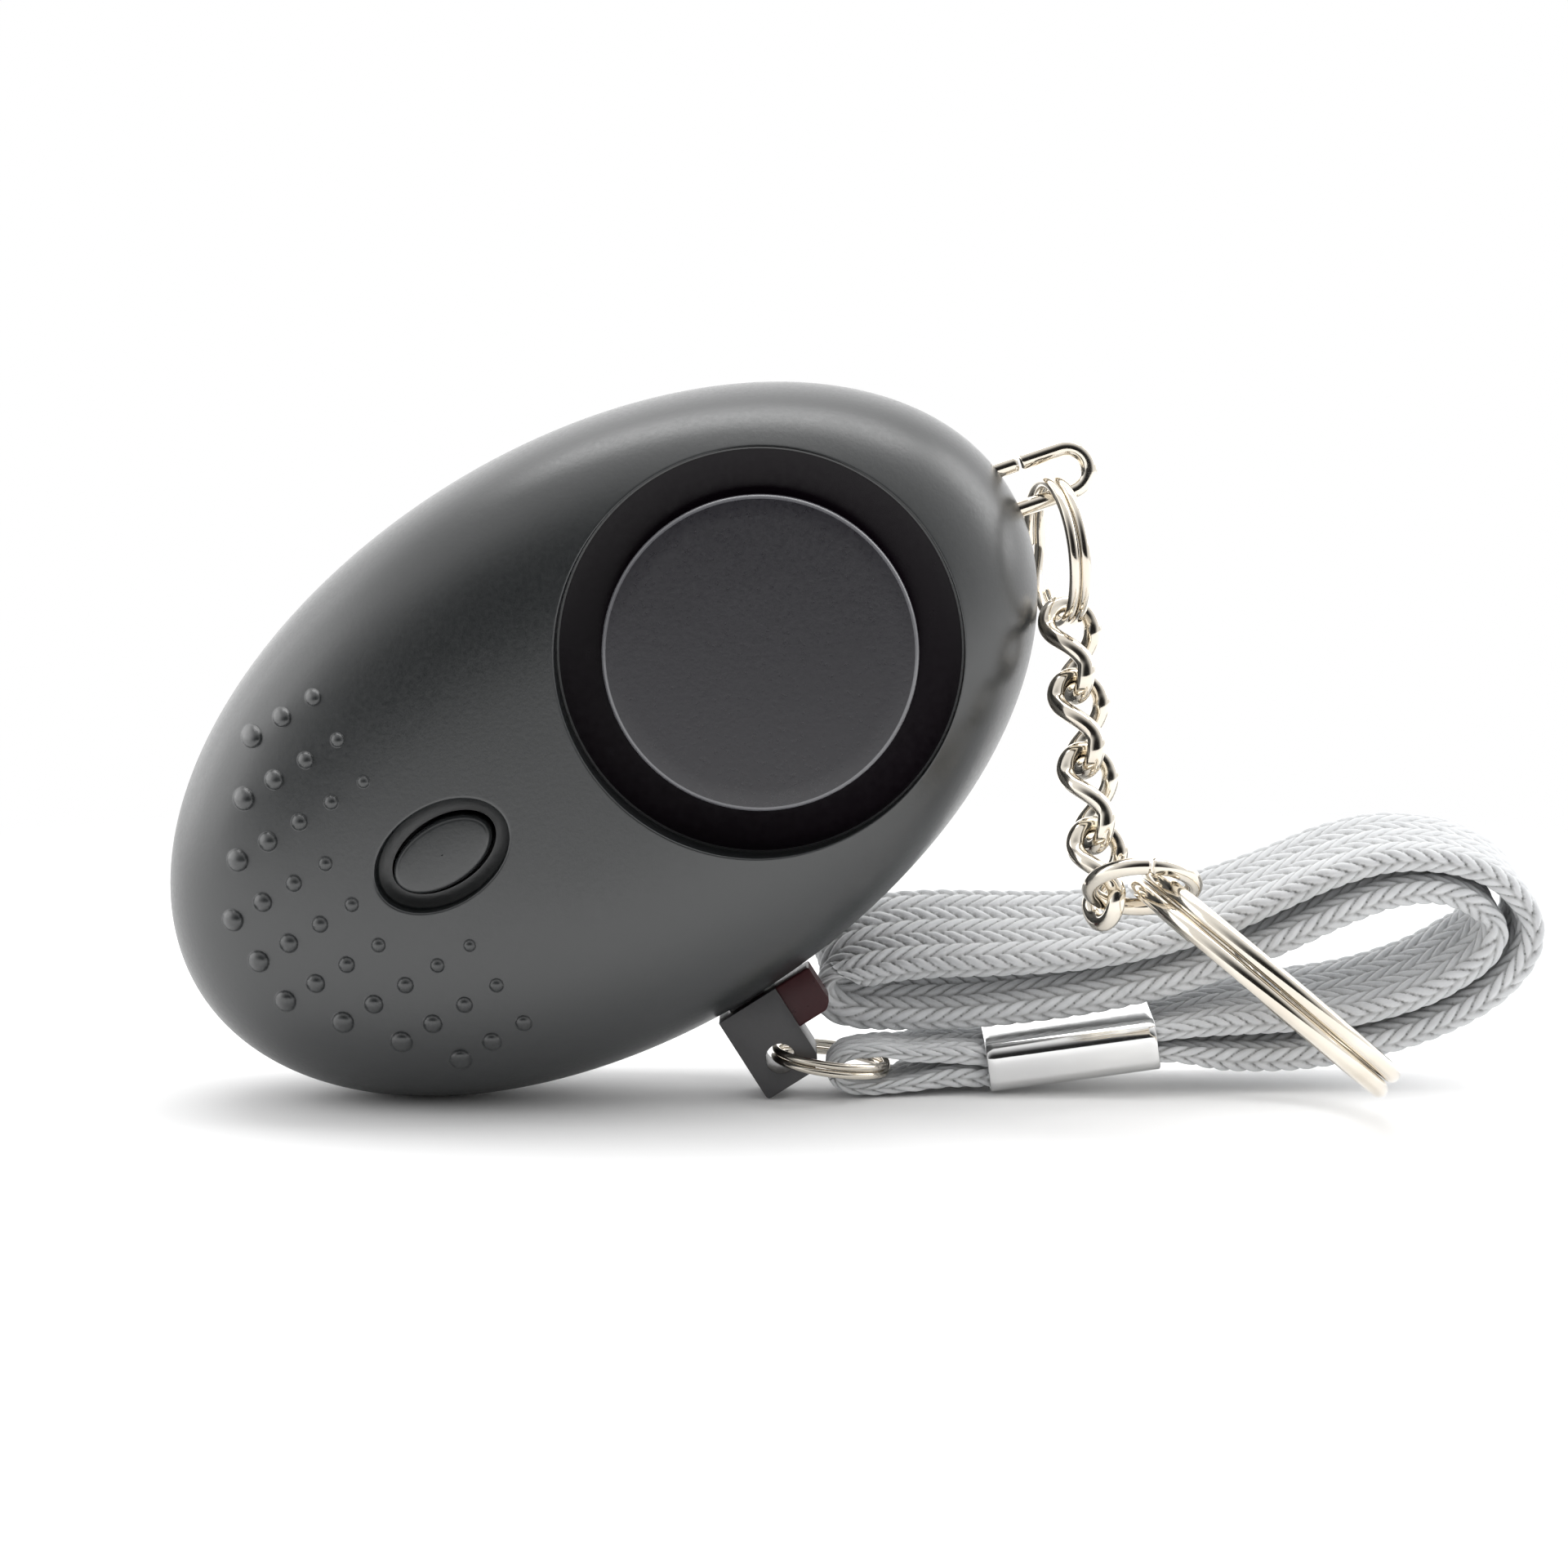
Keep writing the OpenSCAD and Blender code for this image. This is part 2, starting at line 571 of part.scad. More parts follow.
module rear_shell() {
    color("#36373a") in_plan() difference() {
        mirror([0, 0, 1]) outer_dome([acos(1 - back_land / half_depth)]);
        difference() {
            mirror([0, 0, 1]) cavity();
            for (p = screw_places) translate([p.x, p.y, -half_depth]) cylinder(d = boss_d, h = half_depth + board_back);
            translate([post_at, post_y, -half_depth]) cylinder(r = post_r, h = half_depth + post_front);
            for (x = cell_places) translate([x - strip_w / 2, -strip_w, -half_depth])
                cube([strip_w, 2 * strip_w, half_depth + tray_back]);
        }
        for (p = screw_places) translate([p.x, p.y, -half_depth - past]) {
            cylinder(d = screw_d + 4 * fit_gap, h = half_depth + board_z + 2 * past);
            cylinder(d = head_d + 4 * fit_gap, h = past + wall + head_t);
        }
        rim_openings();
    }
}

module siren_cap() {
    color("#333437") in_plan() translate([siren_x, 0, 0]) {
        translate([0, 0, gasket_z]) tube(siren_r - fit_gap, cap_hole_r, flange_t);
        translate([0, 0, cap_z - cap_t]) cylinder(d = cap_d, h = cap_t - cap_bevel);
        translate([0, 0, cap_z - cap_bevel]) cylinder(d1 = cap_d, d2 = cap_d - 2 * cap_bevel, h = cap_bevel);
        for (i = [0:cap_ribs - 1]) rotate(360 * i / cap_ribs) translate([cap_hole_r - rib_len / 2, -rib_w / 2, gasket_z])
            cube([rib_len, rib_w, cap_z - cap_t - gasket_z]);
    }
}

module siren_gasket() {
    color("#1c1c1e") in_plan() translate([siren_x, 0, plate_z])
        tube(siren_r - fit_gap, siren_r - retainer_w, gasket_t);
}

module sounder_plate() {
    color("#b98f3c") in_plan() translate([siren_x, 0, ceramic_z]) cylinder(r = siren_r - fit_gap, h = plate_t);
}

module sounder_ceramic() {
    color("#d9d4c4") in_plan() translate([siren_x, 0, ceramic_z - ceramic_t]) cylinder(d = ceramic_d, h = ceramic_t);
}

module siren_retainer() {
    color("#2b2c2e") in_plan() translate([siren_x, 0, retainer_z])
        tube(siren_r - fit_gap, siren_r - retainer_w, retainer_t);
}

// one lead to the ceramic, and one to the brass beside it
module sounder_leads() {
    color("#b5322a") in_plan() {
        translate([siren_x + ceramic_d / 4, 3, board_z + fit_gap])
            cylinder(r = lead_r, h = ceramic_z - ceramic_t - board_z - 2 * fit_gap);
        translate([siren_x + (ceramic_d / 2 + siren_r - retainer_w) / 2, 0, board_z + fit_gap])
            cylinder(r = lead_r, h = ceramic_z - board_z - 2 * fit_gap);
    }
}

module light_button() {
    color("#3b3c3e") in_plan() translate([button_x, 0, 0]) {
        translate([0, 0, rim_z]) linear_extrude(half_depth - pad_sink - rim_z) oval(pad_len, pad_wid);
        translate([0, 0, rim_z - pad_rim_t]) linear_extrude(pad_rim_t)
            oval(pad_len + 2 * pad_rim, pad_wid + 2 * pad_rim);
        translate([0, 0, plunger_z]) cylinder(d = stem_d, h = rim_z - plunger_z);
    }
}

module switch_body() {
    color("#222326") in_plan() translate([button_x, 0, board_z]) difference() {
        translate([-switch_w / 2, -switch_w / 2, 0]) cube([switch_w, switch_w, switch_h]);
        translate([0, 0, switch_h - plunger_in - button_travel - run_gap])
            cylinder(d = plunger_d + 2 * run_gap, h = switch_h);
    }
}

module switch_plunger() {
    color("#d8d3c8") in_plan() translate([button_x, 0, switch_z - plunger_in])
        cylinder(d = plunger_d, h = plunger_in + plunger_up);
}

module circuit_board() {
    notch_wid = blade_w + 2 * fit_gap;
    color("#2f6b45") in_plan() translate([0, 0, board_back]) difference() {
        linear_extrude(board_t) intersection() {
            circle(d = board_d);
            square([board_d, board_wid], center = true);
        }
        for (p = screw_places) translate([p.x, p.y, -past])
            cylinder(d = screw_d + 4 * fit_gap, h = board_t + 2 * past);
        translate([pin_x - notch_wid / 2, -board_wid / 2 - past, -past])
            cube([notch_wid, board_wid / 2 + past + block_y + block_len, board_t + 2 * past]);
        translate([-half_len, -lamp_d / 2 - run_gap, -past])
            cube([half_len + lamp_end + run_gap, lamp_d + 2 * run_gap, board_t + 2 * past]);
    }
}

module driver_chip() {
    color("#1b1b1d") in_plan() translate([chip_place.x, chip_place.y, board_z + chip_h / 2])
        cube([chip_len, chip_len * 0.8, chip_h], center = true);
}

module step_up_coil() {
    color("#4a4d50") in_plan() translate([coil_place.x, coil_place.y, board_z]) {
        cylinder(d = coil_d, h = coil_h / 5);
        cylinder(d = coil_d - 0.8, h = coil_h);
        translate([0, 0, coil_h * 0.8]) cylinder(d = coil_d, h = coil_h / 5);
    }
}

module filter_capacitor() {
    color("#2c3e78") in_plan() translate([capacitor_place.x, capacitor_place.y, board_z])
        cylinder(d = capacitor_d, h = capacitor_h);
}

module torch_lamp() {
    color("#e9edf0") in_plan() translate([lamp_x, 0, 0]) rotate([0, 90, 0]) {
        translate([0, 0, lamp_d / 2]) sphere(d = lamp_d);
        translate([0, 0, lamp_d / 2]) cylinder(d = lamp_d, h = lamp_len - lamp_d / 2);
    }
}

module lamp_leads() {
    color("#b9bcc0") in_plan() for (side = [-1, 1])
        translate([lamp_end, side * lamp_step / 2, board_back - lamp_wire - fit_gap]) rotate([0, 90, 0])
            cylinder(r = lamp_wire, h = max(0, -board_d / 2 - lamp_end) + lamp_foot);
}

module battery_tray() {
    color("#232427") in_plan() difference() {
        translate([cell_x - tray_len / 2, -tray_wid / 2, tray_back])
            cube([tray_len, tray_wid, -cell_z + 0.2 - tray_back]);
        for (x = cell_places) translate([x, 0, tray_z]) cylinder(d = cell_d + 2 * fit_gap, h = half_depth);
        translate([cell_places[0], -strip_w / 2 - fit_gap, tray_z])
            cube([cell_pitch, strip_w + 2 * fit_gap, strip_t]);
    }
}

module button_cell(i) {
    color("#c4c7cb") in_plan() translate([cell_places[i], 0, cell_back]) {
        cylinder(d = cell_d, h = cell_h - 0.5);
        translate([0, 0, cell_h - 0.5]) cylinder(d = cell_d * 0.82, h = 0.5);
    }
}

module button_cell_1() {
    button_cell(0);
}

module button_cell_2() {
    button_cell(1);
}

module button_cell_3() {
    button_cell(2);
}

// a contact spring on the back of the board, pressed on a cell's front
module cell_spring(x) {
    translate([x, 0, board_back - strip_t]) cylinder(r = strip_r / 2, h = strip_t);
    translate([x, 0, -cell_z]) cylinder(r = spring_r, h = board_back - strip_t + cell_z);
}

module cell_spring_single() {
    color("#c9cccf") in_plan() cell_spring(cell_places[0]);
}

module cell_spring_bridge() {
    color("#c9cccf") in_plan() {
        cell_spring(cell_places[1]);
        cell_spring(cell_places[2]);
        translate([cell_places[1], -spring_r, board_back - strip_t]) cube([cell_pitch, 2 * spring_r, strip_t]);
    }
}

module cell_strip_bridge() {
    color("#c9cccf") in_plan() translate([0, 0, tray_z]) {
        for (i = [0:1]) translate([cell_places[i], 0, 0]) cylinder(r = strip_r, h = strip_t);
        translate([cell_places[0], -strip_w / 2, 0]) cube([cell_pitch, strip_w, strip_t]);
    }
}

module cell_strip_single() {
    color("#c9cccf") in_plan() translate([cell_places[2], 0, tray_z]) cylinder(r = strip_r, h = strip_t);
}

// the leaves stand on either side of the blade and spring together once it is out
module contact_leaf(side, room) {
    z = side > 0 ? blade_t / 2 + leaf_gap : -blade_t / 2 - leaf_gap - leaf_t;
    translate([pin_x - leaf_w / 2 - room, block_y + leaf_foot - leaf_len - room, z - room])
        cube([leaf_w + 2 * room, leaf_len + 2 * room, leaf_t + 2 * room]);
}

module pin_switch_block() {
    high = blade_t + 2 * (leaf_gap + leaf_t + tray_wall);
    color("#242528") in_plan() difference() {
        translate([pin_x - blade_w / 2, block_y, -high / 2]) cube([blade_w, block_len, high]);
        contact_leaf(1, fit_gap);
        contact_leaf(-1, fit_gap);
    }
}

module pin_contact_front() {
    color("#c79a4b") in_plan() contact_leaf(1, 0);
}

module pin_contact_rear() {
    color("#c79a4b") in_plan() contact_leaf(-1, 0);
}

module case_screws() {
    color("#9da1a6") in_plan() for (p = screw_places) translate([p.x, p.y, -half_depth + wall + head_t]) {
        difference() {
            translate([0, 0, -head_t]) cylinder(d = head_d, h = head_t);
            for (turn = [0, 90]) rotate(turn) translate([-0.9, -0.2, -head_t - past]) cube([1.8, 0.4, past + 0.6]);
        }
        cylinder(d = screw_d, h = half_depth - wall - head_t + board_z + bite);
    }
}

// the tab's corner away from the strap is round
module pull_pin() {
    corner = 1.2;
    color("#2c2526") in_plan() difference() {
        union() {
            translate([0, 0, -pin_depth / 2]) linear_extrude(pin_depth) {
                translate([pin_x - pin_w / 2, -pin_reach + corner]) square([pin_w, pin_reach - corner - tab_top]);
                translate([pin_x - pin_w / 2, -pin_reach]) square([pin_w - corner, corner + past]);
                translate([pin_x + pin_w / 2 - corner, -pin_reach + corner]) circle(corner);
            }
            translate([pin_x - pin_w / 2 + past / 2, -tab_top - shoulder_len, -0.9])
                cube([shoulder_w - past / 2, shoulder_len, shoulder_depth]);
            translate([pin_x - blade_w / 2, -tab_top - past, -blade_t / 2])
                cube([blade_w, tab_top + past - blade_end, blade_t]);
        }
        translate([pin_x, -pin_hole_y, -pin_depth]) cylinder(d = pin_hole_d, h = 2 * pin_depth);
    }
}

module pin_ring() {
    color("#d6cfbf") placed() split_ring(pin_ring_mid, pin_ring_out, [0, 1, 0], pin_ring_r, pin_ring_wire, 48);
}

module strap_ring_loop() {
    path = concat([ferrule_point(-fit_gap, -1, press_t), ferrule_point(-ferrule_len / 2, -1, press_t)],
        [for (p = ring_route) [p[0], p[1], p[2]]],
        [ferrule_point(-ferrule_len / 2, 1, press_t), ferrule_point(-fit_gap, 1, press_t)]);
    neck = concat([0, 0], [for (p = ring_route) p[3]], [0, 0]);
    widths = [for (q = neck) unit((1 - q) * ferrule_across + q * [0, 1, 0])];
    pressed = section(strap_w, press_t);
    sections = concat([pressed, pressed],
        [for (p = ring_route) section(strap_w + p[3] * (neck_w - strap_w), strap_t + p[3] * (neck_t - strap_t))],
        [pressed, pressed]);
    color("#c3c5c8") placed() sweep(path, widths, sections, false);
}

module strap_wrist_loop() {
    path = concat([ferrule_point(fit_gap, -1, press_t), ferrule_point(ferrule_len / 2, -1, press_t)],
        [for (p = wrist_route) [p[0], p[1], p[2]]],
        [ferrule_point(ferrule_len / 2, 1, press_t), ferrule_point(fit_gap, 1, press_t)]);
    slopes = concat([ferrule_roll, ferrule_roll], [for (p = wrist_route) p[3]], [ferrule_roll, ferrule_roll]);
    widths = [for (a = slopes) [0, cos(a), sin(a)]];
    pressed = section(strap_w, press_t);
    sections = concat([pressed, pressed], [for (p = wrist_route) section(strap_w, strap_t)], [pressed, pressed]);
    color("#c3c5c8") placed() sweep(path, widths, sections, false);
}

module strap_ferrule() {
    color("#cfd0cc") placed() translate(ferrule_mid) rotate([ferrule_roll, -ferrule_rise, 0]) difference() {
        cube([ferrule_len, ferrule_wide, ferrule_high], center = true);
        cube([ferrule_len + past, ferrule_wide - 2 * ferrule_t, ferrule_high - 2 * ferrule_t], center = true);
    }
}

module bail() {
    r = bail_step / 2;
    color("#d6cfbf") in_plan() translate([post_at, post_y, 0]) rotate(-bail_droop) difference() {
        union() {
            rotate(90) rotate_extrude(angle = 180) translate([r, 0]) circle(d = bail_wire);
            translate([bail_leg, 0, 0]) rotate(-90) rotate_extrude(angle = 180) translate([r, 0]) circle(d = bail_wire);
            for (side = [-r, r]) translate([0, side, 0]) rotate([0, 90, 0]) cylinder(d = bail_wire, h = bail_leg);
        }
        translate([bail_cut - wire_cut / 2, 0, -bail_wire]) cube([wire_cut, bail_step, 2 * bail_wire]);
    }
}

module bail_ring() {
    color("#d6cfbf") placed() split_ring(hang + (bail_ring_top + bail_ring_r) * ring_dir, -around(ring_dir, bail_ring_turn),
        ring_dir, bail_ring_r, bail_ring_wire, 52);
}

module chain_link(i) {
    bow_steps = 8;
    leg_steps = 5;
    straight = link_mid - 2 * bow_r;
    flat = concat(
        [for (k = [0:bow_steps]) let (a = 180 - 180 * k / bow_steps) [bow_r * cos(a), bow_r - bow_r * sin(a)]],
        [for (k = [1:leg_steps - 1]) [bow_r, bow_r + straight * k / leg_steps]],
        [for (k = [0:bow_steps]) let (a = -180 * k / bow_steps) [bow_r * cos(a), bow_r + straight - bow_r * sin(a)]],
        [for (k = [1:leg_steps - 1]) [-bow_r, bow_r + straight - straight * k / leg_steps]]);
    path = [for (q = flat) let (part = max(0, min(1, (q.y - bow_r) / straight)), ease = part * part * (3 - 2 * part))
        chain_point(link_top(i) + q.y) + q.x * around(chain_dir, link_turn(i) - link_twist * ease)];
    mid = chain_point(link_top(i) + link_mid / 2);
    color("#cfc8b8") placed() round_tube(path, [for (p = path) p - mid], link_wire, 8, true);
}

module chain_link_1() {
    chain_link(0);
}

module chain_link_2() {
    chain_link(1);
}

module chain_link_3() {
    chain_link(2);
}

module chain_link_4() {
    chain_link(3);
}

// an open ring whose two ends almost meet
module jump_ring() {
    steps = 36;
    cut_at = 142;
    half_cut = wire_cut / jump_r * 90 / PI;
    angles = [for (i = [0:steps]) cut_at + half_cut + (360 - 2 * half_cut) * i / steps];
    path = [for (a = angles) jump_mid - jump_r * (cos(a) * jump_out - sin(a) * jump_tangent)];
    color("#d6cfbf") placed() round_tube(path, [for (a = angles) jump_turn], jump_wire, 8, false);
}

module key_ring() {
    color("#d6cfbf") placed() split_ring(key_mid, key_back, key_down, key_r, key_wire, 72);
}

front_shell();
rear_shell();
siren_cap();
siren_gasket();
sounder_plate();
sounder_ceramic();
siren_retainer();
sounder_leads();
light_button();
switch_body();
switch_plunger();
circuit_board();
driver_chip();
step_up_coil();
filter_capacitor();
torch_lamp();
lamp_leads();
battery_tray();
button_cell_1();
button_cell_2();
button_cell_3();
cell_spring_single();
cell_spring_bridge();
cell_strip_bridge();
cell_strip_single();
pin_switch_block();
pin_contact_front();
pin_contact_rear();
case_screws();
pull_pin();
pin_ring();
strap_ring_loop();
strap_ferrule();
strap_wrist_loop();
bail();
bail_ring();
chain_link_1();
chain_link_2();
chain_link_3();
chain_link_4();
jump_ring();
key_ring();
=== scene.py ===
import math

import bpy
import numpy as np
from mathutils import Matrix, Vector
from mathutils.geometry import delaunay_2d_cdt


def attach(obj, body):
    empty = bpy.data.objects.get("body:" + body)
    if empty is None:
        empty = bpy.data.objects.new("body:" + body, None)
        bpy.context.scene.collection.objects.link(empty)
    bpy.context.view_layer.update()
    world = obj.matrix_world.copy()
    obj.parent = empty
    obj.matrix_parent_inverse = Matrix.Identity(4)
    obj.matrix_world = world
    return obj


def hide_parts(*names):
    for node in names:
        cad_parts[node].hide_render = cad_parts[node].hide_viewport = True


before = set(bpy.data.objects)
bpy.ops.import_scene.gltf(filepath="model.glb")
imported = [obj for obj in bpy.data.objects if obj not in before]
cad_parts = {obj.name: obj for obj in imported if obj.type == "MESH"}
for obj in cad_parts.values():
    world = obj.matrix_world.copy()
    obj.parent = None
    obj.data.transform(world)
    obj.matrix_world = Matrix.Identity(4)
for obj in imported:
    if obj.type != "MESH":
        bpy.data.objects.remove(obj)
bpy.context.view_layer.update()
mm = 0.001
print("frame loaded:", len(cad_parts), "nodes")

# sizes repeated from the part, in millimetres
casing = {
    "halfLen": 31.5,
    "halfWid": 19.6,
    "depth": 10.5,
    "power": 4.5,
    "tilt": math.radians(32.3),
    "pinReach": 25.8,
    "pinX": -1.2,
    "pinW": 4.4,
    "backLand": 0.3,
}
cosT, sinT = math.cos(casing["tilt"]), math.sin(casing["tilt"])
rimLow = math.hypot(casing["halfLen"] * sinT, casing["halfWid"] * cosT)
pinLow = casing["pinReach"] * cosT - (casing["pinX"] - casing["pinW"] / 2) * sinT
standZ = max(rimLow, pinLow)


def unit(v):
    v = np.asarray(v, float)
    return v / np.linalg.norm(v)


def deg(a):
    return math.radians(a)


def standPoint(u, v, d=0.0):
    return np.array([u * cosT - v * sinT, -d, standZ + u * sinT + v * cosT])


# chain and rings, as they hang
chain = {
    "bailWire": 1.1,
    "bailStep": 2.9,
    "bailLeg": 7.5,
    "post": (28.0, 0.6),
    "droop": deg(13.7),
    "cutAt": 4.7,
    "cut": 0.15,
    "ringD": 10.0,
    "ringWire": 0.7,
    "ringTurn": 78.0,
    "ringSeat": 5.7,
    "ringLean": deg(15),
    "ringDrift": deg(9.8),
    "linkWire": 1.15,
    "linkW": 4.4,
    "linkLen": 7.6,
    "lead": 84.0,
    "twist": 92.0,
    "gap": 0.2,
    "lean": deg(26),
    "drift": deg(5.7),
    "jumpD": 7.6,
    "jumpWire": 1.1,
    "jumpYaw": deg(47),
    "jumpRise": deg(32),
    "jumpCut": deg(142),
    "keyD": 21.0,
    "keyWire": 1.15,
    "keySlope": deg(40),
    "keyRoll": deg(-3.5),
    "keyPass": deg(12),
    "keySide": (0.5, -0.4),
}
bailEnd = np.array([math.cos(chain["droop"]), -math.sin(chain["droop"])])
bailDown = np.array([-math.sin(chain["droop"]), -math.cos(chain["droop"])])
hangPlan = np.array(chain["post"]) + chain["ringSeat"] * bailEnd + chain["bailStep"] / 2 * bailDown
hang = standPoint(*hangPlan)


def hanging(drift, lean):
    return unit([math.tan(drift), -math.tan(lean), -1])


def around(direction, turn):
    side = unit(np.array([1, 0, 0]) - direction[0] * direction)
    return math.cos(deg(turn)) * side + math.sin(deg(turn)) * np.cross(direction, side)


ringDir = hanging(chain["ringDrift"], chain["ringLean"])
chainDir = hanging(chain["drift"], chain["lean"])
ringR = (chain["ringD"] - chain["ringWire"]) / 2
ringTop = -(chain["bailWire"] + chain["ringWire"]) / 2 - chain["gap"]
chainFrom = hang + (ringTop + 2 * ringR) * ringDir
bowR = (chain["linkW"] - chain["linkWire"]) / 2
bowIn = bowR - chain["linkWire"] / 2 - chain["ringWire"] / 2 - chain["gap"]
pairDrop = bowR - math.sqrt(max(0.01, bowIn**2 - (chain["ringWire"] / 2) ** 2))
linkMid = chain["linkLen"] - chain["linkWire"]
linkPitch = linkMid - chain["linkWire"] - chain["gap"]


def linkTop(i):
    return i * linkPitch - pairDrop


def linkTurn(i):
    return chain["ringTurn"] + chain["lead"] + i * (90 - chain["twist"])


jumpR = (chain["jumpD"] - chain["jumpWire"]) / 2
jumpSeat = linkTop(3) + linkMid - (chain["linkWire"] + chain["jumpWire"]) / 2 - chain["gap"]
jumpAt = chainFrom + jumpSeat * chainDir
rightward = np.array([1.0, 0, 0])
jumpNear = np.array([0, -math.cos(chain["jumpRise"]), math.sin(chain["jumpRise"])])
jumpOut = math.cos(chain["jumpYaw"]) * rightward + math.sin(chain["jumpYaw"]) * jumpNear
jumpTangent = math.cos(chain["jumpYaw"]) * jumpNear - math.sin(chain["jumpYaw"]) * rightward
jumpTurn = np.cross(jumpTangent, jumpOut)
jumpMid = jumpAt + jumpR * jumpOut
keyR = (chain["keyD"] - chain["keyWire"]) / 2
keyDown = np.array([math.cos(chain["keySlope"]), 0, -math.sin(chain["keySlope"])])
keyUp = np.array([math.sin(chain["keySlope"]), 0, math.cos(chain["keySlope"])])
keyBack = math.cos(chain["keyRoll"]) * np.array([0, 1, 0]) + math.sin(chain["keyRoll"]) * keyUp
keyAt = jumpMid + chain["keySide"][0] * jumpOut + chain["keySide"][1] * jumpTangent
keyMid = keyAt + keyR * (math.cos(chain["keyPass"]) * keyDown + math.sin(chain["keyPass"]) * keyBack)

# the row's origin lies under the middle of everything but the strap
rimSide = math.hypot(casing["halfLen"] * cosT, casing["halfWid"] * sinT)
keyNormal = np.cross(keyDown, keyBack)
keyReach = [
    keyR * math.hypot(keyDown[i], keyBack[i]) + chain["keyWire"] / 2 * (1 + abs(keyNormal[i])) for i in (0, 1)
]
middle = np.array([
    (keyMid[0] + keyReach[0] - rimSide) / 2,
    (casing["depth"] - casing["backLand"] + keyMid[1] - keyReach[1]) / 2,
    0,
])
print("middle of the part:", np.round(middle, 4))


def planToRow(points):
    p = np.asarray(points, float)
    u, v, d = p[..., 0], p[..., 1], p[..., 2]
    return np.stack([u * cosT - v * sinT, -d, standZ + u * sinT + v * cosT], -1) - middle


# camera
camera = {"target": (11.979, 0, 20.8), "elevation": deg(7), "distance": 240.0, "frame": 1920, "focal": 4445.7}
lens = bpy.data.cameras.new("photoCamera")
lens.sensor_width = 36
lens.angle = 2 * math.atan(camera["frame"] / 2 / camera["focal"])
lens.clip_start, lens.clip_end = 0.01, 20
eye = bpy.data.objects.new("photoCamera", lens)
bpy.context.scene.collection.objects.link(eye)
aim = (np.array(camera["target"]) - middle) * mm
back = np.array([0, -math.cos(camera["elevation"]), math.sin(camera["elevation"])])
eye.location = Vector(aim + back * camera["distance"] * mm)
eye.rotation_euler = Vector(-back).to_track_quat("-Z", "Y").to_euler()
bpy.context.scene.camera = eye


# shader maths as plain expressions on sockets
class Wire:
    def __init__(self, sheet, socket):
        self.sheet, self.socket = sheet, socket

    def calc(self, operation, a, b):
        return self.sheet.add("ShaderNodeMath", {"operation": operation}, {0: a, 1: b})

    def __add__(self, other):
        return self.calc("ADD", self, other)

    def __radd__(self, other):
        return self.calc("ADD", other, self)

    def __sub__(self, other):
        return self.calc("SUBTRACT", self, other)

    def __rsub__(self, other):
        return self.calc("SUBTRACT", other, self)

    def __mul__(self, other):
        return self.calc("MULTIPLY", self, other)

    def __rmul__(self, other):
        return self.calc("MULTIPLY", other, self)

    def out(self, name):
        return Wire(self.sheet, self.socket.node.outputs[name])


class Sheet:
    def __init__(self, tree):
        self.tree = tree

    def add(self, kind, settings=None, values=None, pick=0):
        node = self.tree.nodes.new(kind)
        for key, value in (settings or {}).items():
            setattr(node, key, value)
        for key, value in (values or {}).items():
            if isinstance(value, Wire):
                self.tree.links.new(value.socket, node.inputs[key])
            else:
                node.inputs[key].default_value = value
        return Wire(self, node.outputs[pick])

    def grain(self, scale, detail=2.0, rough=0.5):
        where = self.add("ShaderNodeTexCoord", pick="Object")
        values = {"Vector": where, "Scale": scale, "Detail": detail, "Roughness": rough}
        return self.add("ShaderNodeTexNoise", None, values)

    def spread(self, wire, low, high, start=0.3, stop=0.7):
        return self.add("ShaderNodeMapRange", None, {0: wire, 1: start, 2: stop, 3: low, 4: high})

    def blend(self, factor, first, second):
        mix = self.add("ShaderNodeMix", {"data_type": "RGBA"}, {0: factor}, pick=2)
        for key, value in ((6, first), (7, second)):
            if isinstance(value, Wire):
                self.tree.links.new(value.socket, mix.socket.node.inputs[key])
            else:
                mix.socket.node.inputs[key].default_value = (*value, 1)
        return mix


class Finish(Sheet):
    def __init__(self, title, fixed):
        self.material = bpy.data.materials.new(title)
        self.material.use_nodes = True
        super().__init__(self.material.node_tree)
        self.shader = self.tree.nodes["Principled BSDF"]
        for key, value in fixed.items():
            self.shader.inputs[key].default_value = (*value, 1) if isinstance(value, tuple) else value

    def feed(self, **wires):
        for key, wire in wires.items():
            self.tree.links.new(wire.socket, self.shader.inputs[key])
        return self

    def bumped(self, height, strength, distance):
        values = {"Strength": strength, "Distance": distance, "Height": height}
        bump = self.add("ShaderNodeBump", None, values)
        self.tree.links.new(bump.socket, self.shader.inputs["Normal"])
        return self


def mouldedPlastic(title, dark, light, rough, texture=0.3, grainSize=0.3, spec=0.5):
    f = Finish(title, {"Specular IOR Level": spec})
    fine = f.grain(1000 / grainSize, 3, 0.6)
    broad = f.grain(70, 3)
    f.feed(**{"Base Color": f.blend(f.spread(broad * 0.6 + fine * 0.4, 0, 1), dark, light)})
    f.feed(Roughness=f.spread(fine * 0.7 + broad * 0.3, rough - 0.05, rough + 0.06))
    return f.bumped(fine, texture, 0.00003).material


def platedMetal(title, tint, shade, rough):
    f = Finish(title, {"Metallic": 1.0})
    cloud = f.grain(260, 4)
    fine = f.grain(2600, 3, 0.6)
    f.feed(**{"Base Color": f.blend(f.spread(cloud, 0, 1), shade, tint)})
    f.feed(Roughness=f.spread(cloud * 0.5 + fine * 0.5, rough - 0.04, rough + 0.08))
    return f.bumped(fine, 0.05, 0.00002).material


